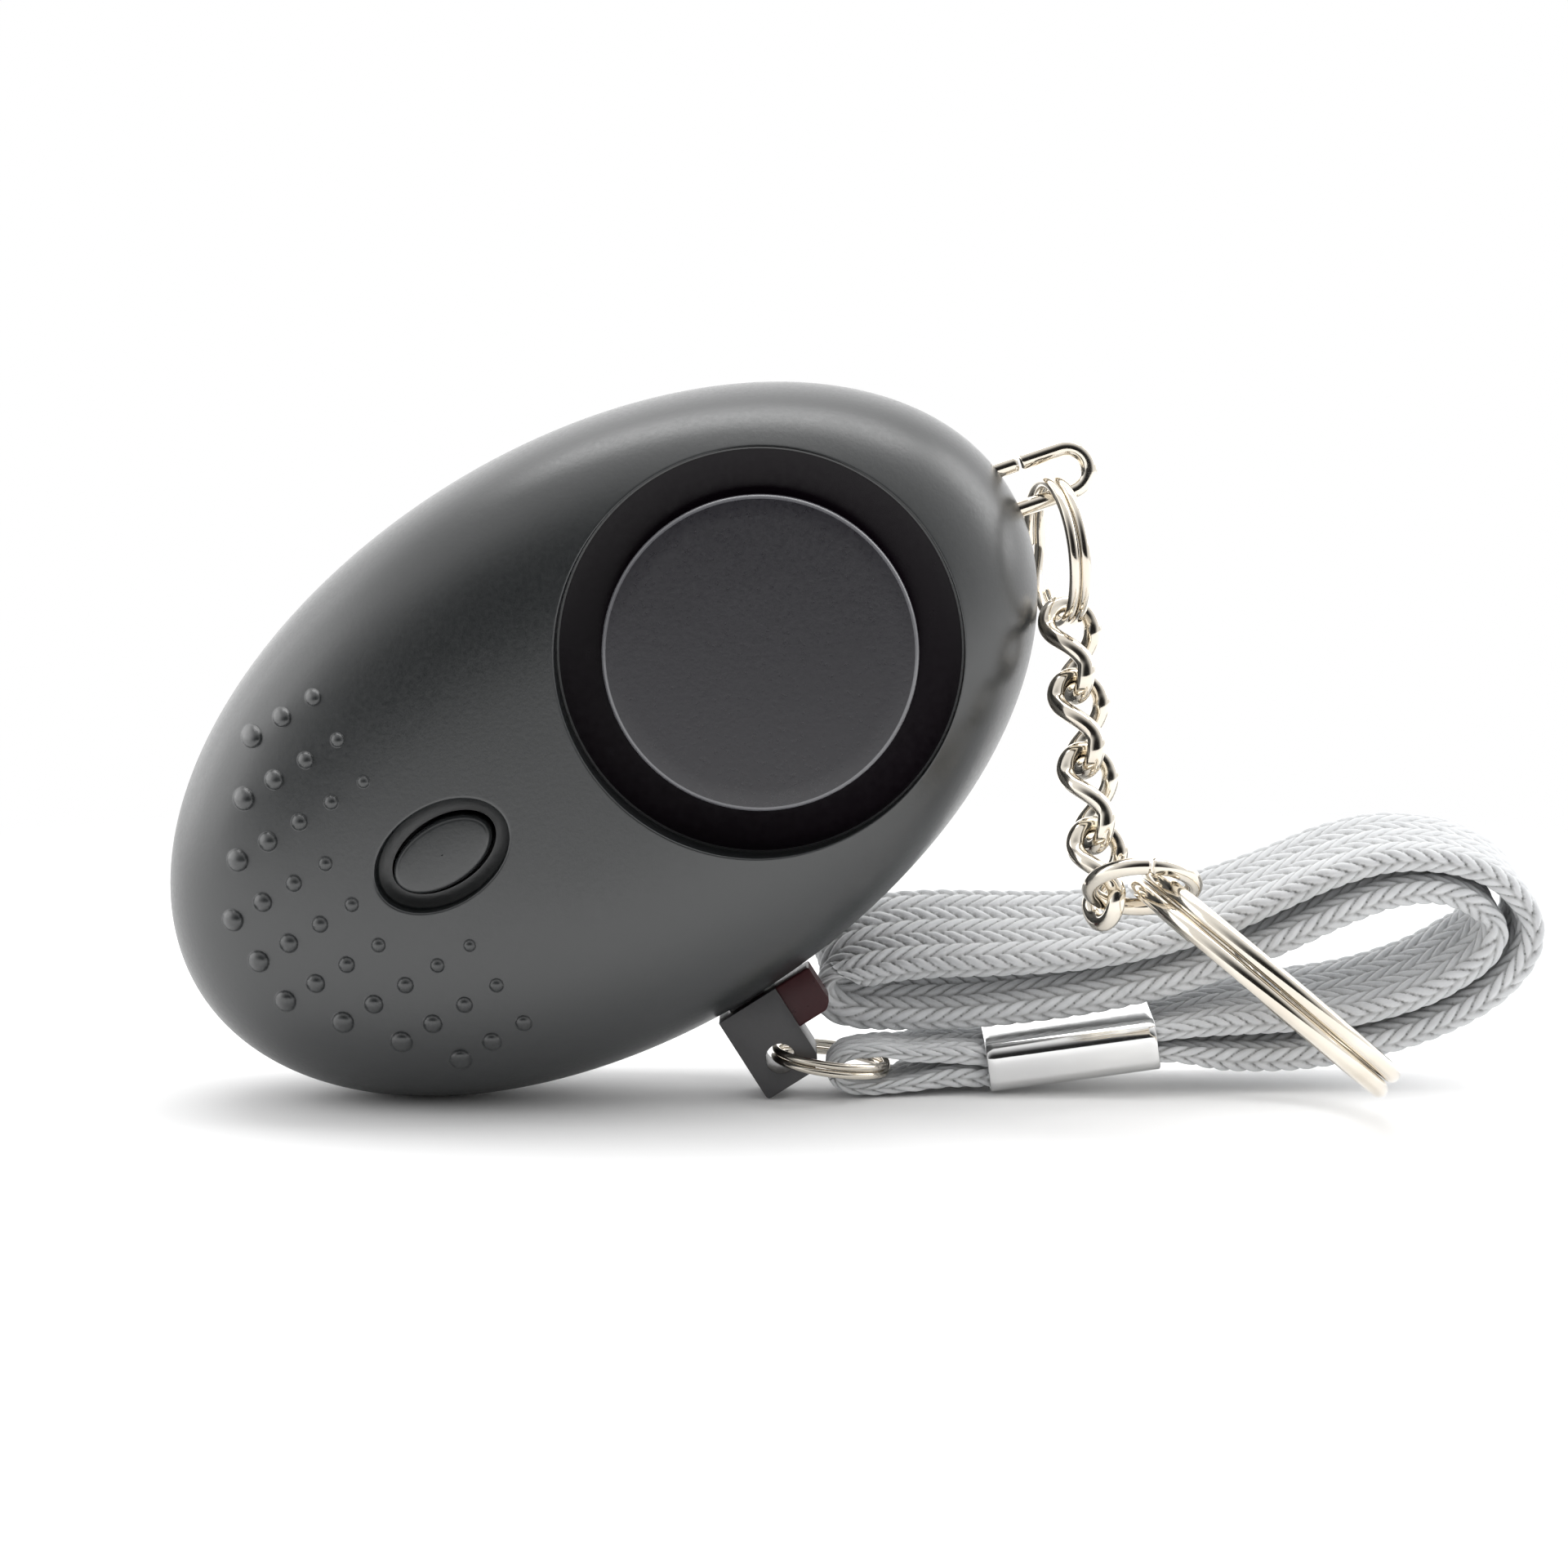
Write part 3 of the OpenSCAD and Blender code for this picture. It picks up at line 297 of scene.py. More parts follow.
def plaitedYarn(title):
    f = Finish(title, {"Specular IOR Level": 0.25, "Sheen Weight": 0.25, "Sheen Roughness": 0.5})
    fibre = f.grain(5200, 4, 0.7)
    strand = f.grain(900, 2, 0.5)
    tone = f.grain(120, 2)
    pale = f.blend(f.spread(strand * 0.6 + tone * 0.4, 0, 1), (0.60, 0.61, 0.62), (0.72, 0.73, 0.74))
    # painted shade: the yarn is darkened towards (0.20, 0.20, 0.19) where the plait is low, in the crevices
    # between the floats
    height = f.add("ShaderNodeAttribute", {"attribute_name": "plaitHeight"}, pick="Fac")
    f.feed(**{"Base Color": f.blend(f.spread(height, 0, 1, 0.05, 0.75), (0.20, 0.20, 0.19), pale)})
    f.feed(Roughness=f.spread(fibre, 0.8, 0.95))
    return f.bumped(fibre * 0.7 + strand * 0.3, 0.55, 0.00008).material


# mesh helpers: points come in millimetres of the stand frame's plan or the row frame
def makePiece(name, points, faces, material, body, replaced=None):
    mesh = bpy.data.meshes.new(name)
    mesh.from_pydata((np.asarray(points) * mm).tolist(), [], [list(map(int, f)) for f in faces])
    mesh.validate()
    mesh.shade_smooth()
    mesh.materials.append(material)
    piece = bpy.data.objects.new(name, mesh)
    bpy.context.scene.collection.objects.link(piece)
    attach(piece, body)
    if replaced:
        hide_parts(*([replaced] if isinstance(replaced, str) else replaced))
    return piece


bevel = {"segments": 3, "limit": deg(40), "crease": deg(45)}


def bevelled(piece, width):
    mod = piece.modifiers.new("edge", "BEVEL")
    mod.width, mod.segments = width * mm, bevel["segments"]
    mod.limit_method, mod.angle_limit = "ANGLE", bevel["limit"]
    mod.harden_normals = False
    baked = bpy.data.meshes.new_from_object(piece.evaluated_get(bpy.context.evaluated_depsgraph_get()))
    piece.modifiers.clear()
    piece.data = baked
    baked.shade_smooth()
    baked.set_sharp_from_angle(angle=bevel["crease"])


def gridFaces(rows, cols, closedRows=False):
    faces = []
    for i in range(rows if closedRows else rows - 1):
        a, b = i * cols, (i + 1) % rows * cols
        faces += [(a + j, a + (j + 1) % cols, b + (j + 1) % cols, b + j) for j in range(cols)]
    return faces


def flipped(faces):
    return [f[::-1] for f in faces]


def tangents(path, closed):
    if closed:
        t = np.roll(path, -1, 0) - np.roll(path, 1, 0)
    else:
        t = np.gradient(path, axis=0)
    return t / np.linalg.norm(t, axis=1)[:, None]


wireEnd = {"inset": 0.12, "size": 0.8}  # shares of the wire at a cut end


def wireTube(path, refs, d, closed, sides=24):
    path, refs = np.asarray(path), np.asarray(refs)
    t = tangents(path, closed)
    w = refs - (refs * t).sum(1)[:, None] * t
    w /= np.linalg.norm(w, axis=1)[:, None]
    up = np.cross(t, w)
    a = np.linspace(0, 2 * np.pi, sides, endpoint=False)
    if not closed:  # the cut ends are a little rounded
        inset = d * wireEnd["inset"]
        first, last = path[:1] + inset * t[:1], path[-1:] - inset * t[-1:]
        path = np.vstack([path[:1], first, path[1:-1], last, path[-1:]])
        w = np.vstack([w[:1], w[:1], w[1:-1], w[-1:], w[-1:]])
        up = np.vstack([up[:1], up[:1], up[1:-1], up[-1:], up[-1:]])
    size = np.full(len(path), d / 2)
    if not closed:
        size[[0, -1]] *= wireEnd["size"]
    spokes = np.cos(a)[:, None] * w[:, None] + np.sin(a)[:, None] * up[:, None]
    points = path[:, None] + size[:, None, None] * spokes
    faces = gridFaces(len(path), sides, closed)
    n = len(path)
    if not closed:
        faces += [tuple(range(sides))[::-1], tuple((n - 1) * sides + j for j in range(sides))]
    return points.reshape(-1, 3), faces


coil = {"start": 20, "stop": 700, "crank": 24, "lay": 0.53}  # a split ring's two turns, in degrees


def coilPath(mid, first, second, r, wire, rings):
    normal = np.cross(first, second)
    a = np.linspace(coil["start"], coil["stop"], rings)
    share = np.clip((a - 360) / coil["crank"], -1, 1)
    rise = wire * coil["lay"] * share * (1.5 - 0.5 * share**2)
    q = np.radians(a)[:, None]
    path = mid + r * (np.cos(q) * first + np.sin(q) * second) + rise[:, None] * normal
    return path, np.repeat(normal[None], rings, 0)


def lathe(profile, sides, centre):
    a = np.linspace(0, 2 * np.pi, sides, endpoint=False)
    points = []
    for r, d in profile:
        points.append(np.stack([centre[0] + r * np.cos(a), centre[1] + r * np.sin(a), np.full(sides, d)], -1))
    return np.vstack(points), gridFaces(len(profile), sides)


def roundedSteps(c, r, start, stop, steps=5):
    turns = np.radians(np.linspace(start, stop, steps))
    return [(c[0] + r * math.cos(q), c[1] + r * math.sin(q)) for q in turns]


# faces of the casing: one skin with its openings, edge rounds and studs, from points on the true surface
def skinHeight(u, v):
    rho = np.clip(np.hypot(u / casing["halfLen"], v / casing["halfWid"]), 0, 1)
    return casing["depth"] * np.sqrt(np.clip(1 - rho ** casing["power"], 0, 1))


def ovalRing(c, rx, ry, n):
    a = np.linspace(0, 2 * np.pi, n, endpoint=False)
    return np.stack([c[0] + rx * np.cos(a), c[1] + ry * np.sin(a)], -1)


def ovalReach(u, v, h, grow=0.0):
    return np.hypot((u - h["at"][0]) / (h["rx"] + grow), (v - h["at"][1]) / (h["ry"] + grow))


skin = {
    "oval": {"at": (0, 0), "rx": casing["halfLen"], "ry": casing["halfWid"]},
    "rimPoints": 240,
    "leastPoints": 24,
    "crowding": 1.15,
    "rimSlope": (90, 60, 16),
    "faceSlope": (57, 4, 21),
    "holeClear": 0.35,
    "studClear": 1.65,
    "snap": 1e-5,
    "ledge": 0.05,
    "ledgeShares": (0.995, 0.98),
    "studRings": [
        (0.3, 8), (0.55, 14), (0.74, 20), (0.85, 24), (0.91, 24),
        (0.95, 24), (1.03, 24), (1.15, 20), (1.4, 16),
    ],
}


def slopeShares(key):
    return np.sin(np.radians(np.linspace(*skin[key]))) ** (2 / casing["power"])


def skinRing(share, n):
    return ovalRing((0, 0), casing["halfLen"] * share, casing["halfWid"] * share, n)


# the steep rim is a plain grid of rings, and the face inside it is triangulated around its openings and studs
def caseSkin(holes, studs, shape):
    rim, inner = slopeShares("rimSlope"), slopeShares("faceSlope")
    outer = skinRing(rim[-1], skin["rimPoints"])
    counts = [int(skin["rimPoints"] * min(1, s * skin["crowding"])) for s in inner]
    loose = np.vstack([skinRing(s, max(skin["leastPoints"], n)) for s, n in zip(inner, counts)])
    edges = [(i, (i + 1) % len(outer)) for i in range(len(outer))]
    pts = [outer]
    count = len(outer)
    keep = np.ones(len(loose), bool)
    for h in holes:
        n = h["points"]
        for grow in h["rounds"]:
            ring = ovalRing(h["at"], h["rx"] + grow, h["ry"] + grow, n)
            if grow == 0:
                edges += [(count + i, count + (i + 1) % n) for i in range(n)]
            pts.append(ring)
            count += n
        keep &= ovalReach(loose[:, 0], loose[:, 1], h, h["rounds"][-1] + skin["holeClear"]) > 1
    for x, y, r in studs:
        for share, n in skin["studRings"]:
            pts.append(ovalRing((x, y), r * share, r * share, n))
        pts.append(np.array([[x, y]]))
        keep &= np.hypot(loose[:, 0] - x, loose[:, 1] - y) > skin["studClear"] * r
    pts.append(loose[keep])
    flat = np.vstack(pts)
    verts, _, tris, *_ = delaunay_2d_cdt([Vector(p) for p in flat], edges, [], 0, 1e-6)
    v = np.array(verts)
    tris = np.array([t for t in tris if len(t) == 3])
    mid = v[tris].mean(1)
    good = np.ones(len(tris), bool)
    for h in holes:
        good &= ovalReach(mid[:, 0], mid[:, 1], h) > 0.9995
    tris = tris[good]
    side = np.cross(v[tris[:, 1]] - v[tris[:, 0]], v[tris[:, 2]] - v[tris[:, 0]])
    tris[side < 0] = tris[side < 0][:, ::-1]
    z = shape(v[:, 0], v[:, 1])
    points = np.column_stack([v, z]).tolist()
    faces = [tuple(t) for t in tris]

    def hangWalls(ring, levels):
        last = ring
        for make in levels:
            new = []
            for i in ring:
                points.append(make(np.array(points[i])))
                new.append(len(points) - 1)
            n = len(ring)
            for i in range(n):
                faces.append((last[i], last[(i + 1) % n], new[(i + 1) % n], new[i]))
            last = new

    # rim, with a fine step at the parting line
    onRim = np.where(np.abs(ovalReach(v[:, 0], v[:, 1], skin["oval"]) - rim[-1]) < skin["snap"])[0]
    onRim = onRim[np.argsort(-np.arctan2(v[onRim, 1], v[onRim, 0]))]

    def rimLevel(share, d):
        return lambda p: [p[0] * share / rim[-1], p[1] * share / rim[-1], max(skin["ledge"], d)]

    levels = [rimLevel(s, float(skinHeight(s * casing["halfLen"], 0))) for s in rim[-2::-1]]
    hangWalls(list(onRim), levels + [rimLevel(s, skin["ledge"]) for s in skin["ledgeShares"]])
    for h in holes:
        loop = np.where(np.abs(ovalReach(v[:, 0], v[:, 1], h) - 1) < skin["snap"])[0]
        loop = loop[np.argsort(np.arctan2(v[loop, 1] - h["at"][1], v[loop, 0] - h["at"][0]))]
        cx, cy = h["at"]

        def step(shrink, d):
            return lambda p: [cx + (p[0] - cx) * shrink[0], cy + (p[1] - cy) * shrink[1], d]

        hangWalls(list(loop), [step(s, d) for s, d in h["walls"]])
    return np.array(points), faces


def edgeRound(u, v, h, r):
    gap = np.clip((ovalReach(u, v, h) - 1) * min(h["rx"], h["ry"]), 0, None)
    inside = np.clip(r - gap, 0, r)
    return r - np.sqrt(np.clip(r * r - inside * inside, 0, None))


plastics = {
    "casing": ("casing plastic", (0.012, 0.014, 0.015), (0.018, 0.020, 0.021), 0.33, 0.25, 0.28, 1.0),
    "disc": ("siren disc plastic", (0.010, 0.009, 0.013), (0.016, 0.015, 0.020), 0.3, 0.22, 0.28, 0.8),
    # the disc's rounded edge is painted much lighter than the disc face: a painted highlight along the edge
    "discEdgeHighlight": ("siren disc edge painted highlight", (0.10, 0.10, 0.11), (0.14, 0.14, 0.15), 0.2, 0.05, 0.28, 1.0),
    "groove": ("siren groove gloss", (0.004, 0.002, 0.004), (0.006, 0.003, 0.006), 0.22, 0.04, 0.5, 0.2),
    "pinTab": ("pin tab plastic", (0.022, 0.021, 0.023), (0.040, 0.038, 0.041), 0.45, 0.5, 0.45, 0.9),
    "pinShoulder": ("pin shoulder gloss", (0.030, 0.006, 0.008), (0.050, 0.012, 0.014), 0.3, 0.05, 0.6, 0.25),
}
finishes = {key: mouldedPlastic(*values) for key, values in plastics.items()}
finishes.update({
    "nickel": platedMetal("nickel plate", (0.80, 0.75, 0.66), (0.70, 0.64, 0.55), 0.08),
    "ferrule": platedMetal("ferrule tin", (0.84, 0.84, 0.83), (0.76, 0.76, 0.76), 0.1),
    "strap": plaitedYarn("strap yarn"),
})

# strap: one flat plaited band, laid in two runs between the pin ring and the left fold
strap = {
    "wide": 9.0,
    "thick": 1.8,
    "pressThick": 1.25,
    "neckWide": 4.8,
    "neckThick": 1.0,
    "layerGap": 0.2,
    "ferruleMid": (31.2, 3.6, 2.85),
    "ferruleRise": deg(8),
    "ferruleRoll": deg(4),
    "ferruleLen": 11.4,
    "ferruleMetal": 0.35,
    "ferruleCorner": 1.0,
    "ferruleBow": 0.3,
    "ferruleLip": 0.1,
    "ferruleMouth": 0.12,
    "pressDepth": 0.03,
    "pressTurn": 2.1,
    "pressReach": 3.5,
    "fitGap": 0.05,
    "columns": 14,
    "pitch": 1.2,
    "slant": 1.4,
    "relief": 0.42,
    "archHalf": 0.66,
    "archPower": 2.6,
    "floatPower": 2.4,
    "samples": 9,
}
wristRoute = [
    [41.5, 4.2, 2.8, 9], [46.5, 4.6, 3, 12], [51.5, 4.8, 4, 15], [56, 5, 5.5, 16],
    [59.4, 5, 7.4, 15], [61.4, 5, 9.6, 13], [61.9, 5, 11.7, 11], [61, 5, 13.6, 10], [59, 5, 15.2, 10],
    [56, 5, 16.1, 10], [52.4, 5, 16.2, 11], [48.8, 5, 15.3, 12], [45, 5.1, 13.7, 13], [41, 5.2, 12.1, 16],
    [36.5, 5.2, 10.9, 19], [31.5, 5.1, 10.2, 22], [26.5, 5.2, 10, 25], [22, 5.5, 9.9, 27],
    [18.8, 5.6, 9.6, 28], [16.6, 5.6, 9, 28], [15.4, 5.6, 8, 27], [15.4, 5.6, 7, 26],
    [16.7, 5.6, 6.4, 25], [19, 5.6, 6.2, 24], [22.5, 5.4, 6.2, 23], [27, 5, 6.5, 21],
    [32, 4.8, 7.1, 19], [37, 4.9, 8, 16], [41.5, 5, 9.3, 14], [45.8, 5, 11.1, 13],
    [49.4, 5, 12.7, 12], [52.6, 5, 13.8, 11], [55.7, 5, 14, 10], [58.1, 5, 13.2, 11],
    [59.4, 5, 11.6, 12], [58.9, 5, 10, 13], [57.3, 5, 8.7, 14], [54.6, 4.9, 7.3, 14],
    [50.6, 4.8, 6.1, 13], [46, 4.6, 5.5, 11], [41.5, 4.2, 5.1, 8],
]
ringRoute = [
    [22.6, 2.4, 1.15, 0.4], [20, 1.2, 0.8, 0.8], [17.6, 0.5, 0.62, 1], [16, 0.2, 0.9, 1],
    [15.3, 0.1, 1.6, 1], [15.4, 0.1, 2.4, 1], [16.3, 0.2, 3, 1], [18.2, 0.5, 3.15, 1],
    [20.4, 1.3, 2.85, 0.8], [23, 2.5, 2.8, 0.4],
]
bightAt = 20  # the route's point at the left fold, where the outer run becomes the inner one
bendAt = 4  # the point of the other route at the pin ring, where the lower tail becomes the upper one
ferruleAcross = np.array([0, math.cos(strap["ferruleRoll"]), math.sin(strap["ferruleRoll"])])
ferruleAlong = np.array([math.cos(strap["ferruleRise"]), 0, math.sin(strap["ferruleRise"])])
ferruleUp = np.cross(ferruleAlong, ferruleAcross)


def ferrulePoint(s, layer):
    rise = layer * (strap["pressThick"] + strap["layerGap"]) / 2
    return np.array(strap["ferruleMid"]) + s * ferruleAlong + rise * ferruleUp


def smoothRoute(points, step):
    p = np.asarray(points, float)
    q = np.vstack([p[-2], p, p[1]])  # the route ends where it began
    out = []
    t = np.linspace(0, 1, 24, endpoint=False)[:, None]
    for a, b, c, d in zip(q, q[1:], q[2:], q[3:]):
        square, cube = 2 * a - 5 * b + 4 * c - d, 3 * b - a - 3 * c + d
        out.append(0.5 * (2 * b + (c - a) * t + square * t**2 + cube * t**3))
    out = np.vstack([*out, p[-1:]])
    s = np.concatenate([[0], np.cumsum(np.linalg.norm(np.diff(out[:, :3], axis=0), axis=1))])
    n = max(8, int(round(s[-1] / step)))
    at = np.linspace(0, s[-1], n + 1)
    return np.stack([np.interp(at, s, out[:, k]) for k in range(out.shape[1])], -1), at


def floats(across, at):
    # height of the plait: rows of slanted floats, each row leaning against the next and ending under it
    best = np.zeros((len(at), len(across)))
    for shift in (-1, 0, 1):
        column = np.floor(across) + shift
        part = across - column - 0.5
        lean, start = np.where(column % 2 == 0, [[strap["slant"]], [0]], [[-strap["slant"]], [0.5]])
        phase = at[:, None] / strap["pitch"] + (lean * part + start)[None]
        edge = np.abs(2 * (phase % 1.0) - 1.0)
        arch = np.clip(1 - np.abs(part / strap["archHalf"]) ** strap["archPower"], 0, 1)
        best = np.maximum(best, np.sqrt(np.clip(1 - edge ** strap["floatPower"], 0, 1)) * arch[None])
    return best


def plait(name, band, a, b):
    rows, t, w, at = (band[key][a:b] for key in ("rows", "along", "across", "at"))
    n = strap["columns"] * strap["samples"]
    w = w - (w * t).sum(1)[:, None] * t
    w /= np.linalg.norm(w, axis=1)[:, None]
    up = np.cross(t, w)
    # stadium outline: place and outward direction at equal steps of its length
    flat = strap["wide"] - strap["thick"]
    bend = math.pi * strap["thick"] / 2
    s = np.arange(n) / n * 2 * (flat + bend)
    side = np.where(s < flat + bend, 1.0, -1.0)
    s = s % (flat + bend)
    q = np.clip((s - flat) / bend, 0, 1) * math.pi - math.pi / 2
    px = side * (np.minimum(s, flat) - flat / 2 + strap["thick"] / 2 * np.cos(q)) / strap["wide"]
    py = side * 0.5 * np.sin(q)
    height = floats(np.arange(n) / strap["samples"], at)
    lift = strap["relief"] * (height - 1.0)
    x = band["wide"][a:b, None] * px[None] + lift * (side * np.cos(q))[None]
    y = band["thick"][a:b, None] * py[None] + lift * (side * np.sin(q))[None]
    points = rows[:, None] + x[:, :, None] * w[:, None] + y[:, :, None] * up[:, None] - middle
    faces = gridFaces(len(rows), n)
    faces += [tuple(range(n)), tuple((len(rows) - 1) * n + j for j in range(n))[::-1]]
    nodes = ("strap_wrist_loop", "strap_ring_loop")
    points = points.reshape(-1, 3)
    piece = makePiece(name, points, flipped(faces), finishes["strap"], "strap", nodes)
    # the plait's height is kept on the points for the painted shade in its crevices
    marks = piece.data.attributes.new("plaitHeight", "FLOAT", "POINT")
    marks.data.foreach_set("value", height.ravel().astype(np.float32))
    return piece


# the band goes from the pin ring through the ferrule, round the wrist loop and back the same way
def layStrap():
    roll, half = math.degrees(strap["ferruleRoll"]), strap["ferruleLen"] / 2
    full, pressed, folded = strap["thick"], strap["pressThick"], strap["neckThick"]
    tail = [[*p[:3], roll * (1 - p[3]), p[3], full + p[3] * (folded - full)] for p in ringRoute]
    held = (-half, 0, half)
    lower, upper = ([[*ferrulePoint(s, layer), roll, 0, pressed] for s in held] for layer in (-1, 1))
    loop = [[*p, 0, full] for p in wristRoute]
    whole = tail[bendAt::-1] + lower + loop + upper[::-1] + tail[: bendAt - 1 : -1]
    fine, at = smoothRoute(whole, strap["pitch"] / strap["samples"])
    q, neck = np.radians(fine[:, 3]), np.clip(fine[:, 4], 0, 1)
    band = {
        "rows": fine[:, :3],
        "along": tangents(fine[:, :3], False),
        "across": np.stack([0 * q, np.cos(q), np.sin(q)], -1),
        "wide": strap["wide"] + neck * (strap["neckWide"] - strap["wide"]),
        "thick": np.clip(fine[:, 5], folded, full),
        "at": at,
    }
    cut = int(np.argmin(np.linalg.norm(fine[:, :3] - np.array(wristRoute[bightAt][:3]), axis=1)))
    runs = {"strapOuterRun": (0, cut + 1), "strapInnerRun": (cut, len(fine))}
    return {
        name: (plait(name, band, a, b), fine[a:b, :3], at[b - 1] - at[a]) for name, (a, b) in runs.items()
    }


strapPieces = layStrap()


def ferruleSleeve():
    metal, gap = strap["ferruleMetal"], strap["fitGap"]
    halfW = strap["wide"] / 2 + gap + metal
    halfH = strap["pressThick"] + strap["layerGap"] / 2 + gap + metal
    corner = strap["ferruleCorner"]

    def outline(inset):
        r = corner - inset
        pts = []
        for sx, sy, a in ((1, 1, 0), (-1, 1, 90), (-1, -1, 180), (1, -1, 270)):
            c = (sx * (halfW - corner), sy * (halfH - corner))
            pts += roundedSteps(c, r, a, a + 90, 9)
        return pts

    half = strap["ferruleLen"] / 2
    lip, mouth = strap["ferruleLip"], strap["ferruleMouth"]
    sections = [(-half + mouth, metal), (-half, metal - lip), (-half, lip), (-half + lip, 0.0)]
    sections += [(s, 0.0) for s in np.linspace(-half + 0.5, half - 0.5, 23)]
    sections += [(half - lip, 0.0), (half, lip), (half, metal - lip), (half - mouth, metal)]
    points = []
    for s, inset in sections:
        for x, y in outline(inset):
            # shallow presses where the sleeve was closed on the strap
            if abs(x) < halfW - corner:
                press = strap["pressDepth"] * (0.5 + 0.5 * math.cos(s * strap["pressTurn"]))
                y -= math.copysign(press * math.exp(-((x / strap["pressReach"]) ** 2)), y)
            x -= math.copysign(strap["ferruleBow"] * (y / halfH) ** 2, x)  # its sides are bowed
            place = np.array(strap["ferruleMid"]) + s * ferruleAlong + x * ferruleAcross + y * ferruleUp
            points.append(place - middle)
    faces = flipped(gridFaces(len(sections), len(outline(0))))
    sleeve = makePiece(
        "ferruleSleeve", points, faces, finishes["ferrule"], "strap", "strap_ferrule"
    )
    sleeve.data.set_sharp_from_angle(angle=deg(50))
    return sleeve


sleeve = ferruleSleeve()
for name, (piece, path, length) in strapPieces.items():
    route = (path if name == "strapOuterRun" else path[::-1]) - middle
    route = [tuple(p) for p in route[::4] * mm] + [tuple(route[-1] * mm)]
    float(length * mm)
    [sleeve] if name == "strapOuterRun" else []
print("strap laid:", {k: round(float(v[2]), 1) for k, v in strapPieces.items()}, "mm")

# front of the casing
front = {
    "siren": {"at": (12.4, 0), "rx": 13.0, "ry": 13.0, "points": 160},
    "recess": {"at": (-11.5, 0), "rx": 4.65, "ry": 3.2, "points": 96},
    "edge": 0.14,
    "rounds": [0, 0.02, 0.05, 0.09, 0.14, 0.2, 0.32],
    "studTip": -25.5,
    "studStep": 2.47,
    "studRow": 3.1,
    "studSide": 0.4,
    "studR": 0.79,
    "studSink": 0.35,
    "studSoft": 0.03,
    "studReach": 1.4,
    "studFade": 0.25,
    "taper": 0.86,
}
front["siren"]["rounds"] = front["recess"]["rounds"] = front["rounds"]
front["siren"]["walls"] = [((1, 1), 8.0), ((1, 1), 7.35), ((1.0, 1.0), 7.02), ((0.99, 0.99), 7.0)]
front["recess"]["walls"] = [
    ((1, 1), 9.0), ((1, 1), 8.75), ((0.975, 0.965), 8.6), ((0.79, 0.70), 8.6), ((0.79, 0.70), 7.4),
]


def studPlaces():
    places = []
    for row in range(-4, 5):
        first = max(0, abs(row) - 1)
        for i in range(first, (3 if abs(row) < 2 else 5) + 1):
            x, y = front["studTip"] + i * front["studStep"], front["studSide"] + row * front["studRow"]
            places.append((x, y, front["studR"] * front["taper"] ** (i - first)))
    return places


def frontHeight(u, v):
    z = skinHeight(u, v)
    for key in ("siren", "recess"):
        z = z - edgeRound(u, v, front[key], front["edge"])
    for x, y, r in studPlaces():
        d = np.hypot(u - x, v - y)
        cap = np.sqrt(np.clip(r * r - d * d, 0, None)) - front["studSink"] * r
        soft = front["studSoft"] * r
        dome = 0.5 * (cap + np.sqrt(cap * cap + soft * soft))
        z = z + dome * np.clip((front["studReach"] - d / r) / front["studFade"], 0, 1)
    return z


points, faces = caseSkin([front["siren"], front["recess"]], studPlaces(), frontHeight)
shell = makePiece(
    "frontShell", planToRow(points), faces, finishes["casing"], "casing", "front_shell"
)
shell.data.set_sharp_from_angle(angle=deg(60))
print("front shell:", len(faces), "faces")

# back of the casing
rear = {"screws": [(-19.8, 0), (-6.6, 9.3), (-6.6, -9.3)], "edge": 0.2, "landSoft": 0.06}
screwHole = {
    "rx": 1.9,
    "ry": 1.9,
    "points": 36,
    "rounds": [0, 0.05, 0.12, 0.2, 0.35],
    "walls": [((1, 1), 8.6), ((1, 1), 7.65), ((0.5, 0.5), 7.6)],
}
backHoles = [{"at": p, **screwHole} for p in rear["screws"]]


def rearHeight(u, v):
    z = skinHeight(u, v)
    land = casing["depth"] - casing["backLand"]
    z = 0.5 * (z + land - np.sqrt((z - land) ** 2 + rear["landSoft"] ** 2))
    for h in backHoles:
        z = z - edgeRound(u, v, h, rear["edge"])
    return z


points, faces = caseSkin(backHoles, [], rearHeight)
points[:, 2] *= -1
shell = makePiece(
    "rearShell", planToRow(points), flipped(faces), finishes["casing"], "casing", "rear_shell"
)
shell.data.set_sharp_from_angle(angle=deg(60))
print("rear shell:", len(faces), "faces")

# siren: matte disc standing in a glossy groove
siren = {
    "at": front["siren"]["at"],
    "sides": 160,
    "discR": 10.05,
    "discTop": 9.5,
    "discLow": 8.2,
    "edge": 0.26,
    "groove": [(7.6, 6.5), (8.6, 6.62), (10.5, 6.72), (12.0, 6.82), (12.7, 6.92), (13.0, 6.97), (13.6, 6.97)],
    "low": 5.95,
    "ribs": 6,
    "ribFrom": 7.0,
    "ribTo": 8.95,
    "ribHalf": 0.7,
    "ribTop": 8.25,
}
top, edge = siren["discTop"], siren["edge"]
face = [(r, top) for r in (0.02, 3, 6, 8.6)]
rounded = roundedSteps((siren["discR"] - edge, top - edge), edge, 90, 0, 8)
under = [(r, siren["discLow"]) for r in (siren["discR"], 8.0, 0.02)]
points, faces = lathe(face + rounded + under, siren["sides"], siren["at"])
disc = makePiece(
    "sirenDisc", planToRow(points), flipped(faces), finishes["disc"], "casing", "siren_cap"
)
disc.data.materials.append(finishes["discEdgeHighlight"])
# the rows of the rounded edge take the lighter finish, which paints a highlight round the disc
highlightRows = range(len(face), len(face) + len(rounded) - 1)
for polygon in disc.data.polygons:
    polygon.material_index = int(polygon.index // siren["sides"] in highlightRows)
disc.data.set_sharp_from_angle(angle=deg(50))
inside, outside = ((siren["groove"][k][0], siren["low"]) for k in (0, -1))
points, faces = lathe([inside, *siren["groove"], outside, inside], siren["sides"], siren["at"])
groove = makePiece(
    "sirenGroove", planToRow(points), flipped(faces), finishes["groove"], "casing", None
)
groove.data.set_sharp_from_angle(angle=deg(40))
ribs = []
ribFaces = []
near, far, half = siren["ribFrom"], siren["ribTo"], siren["ribHalf"]
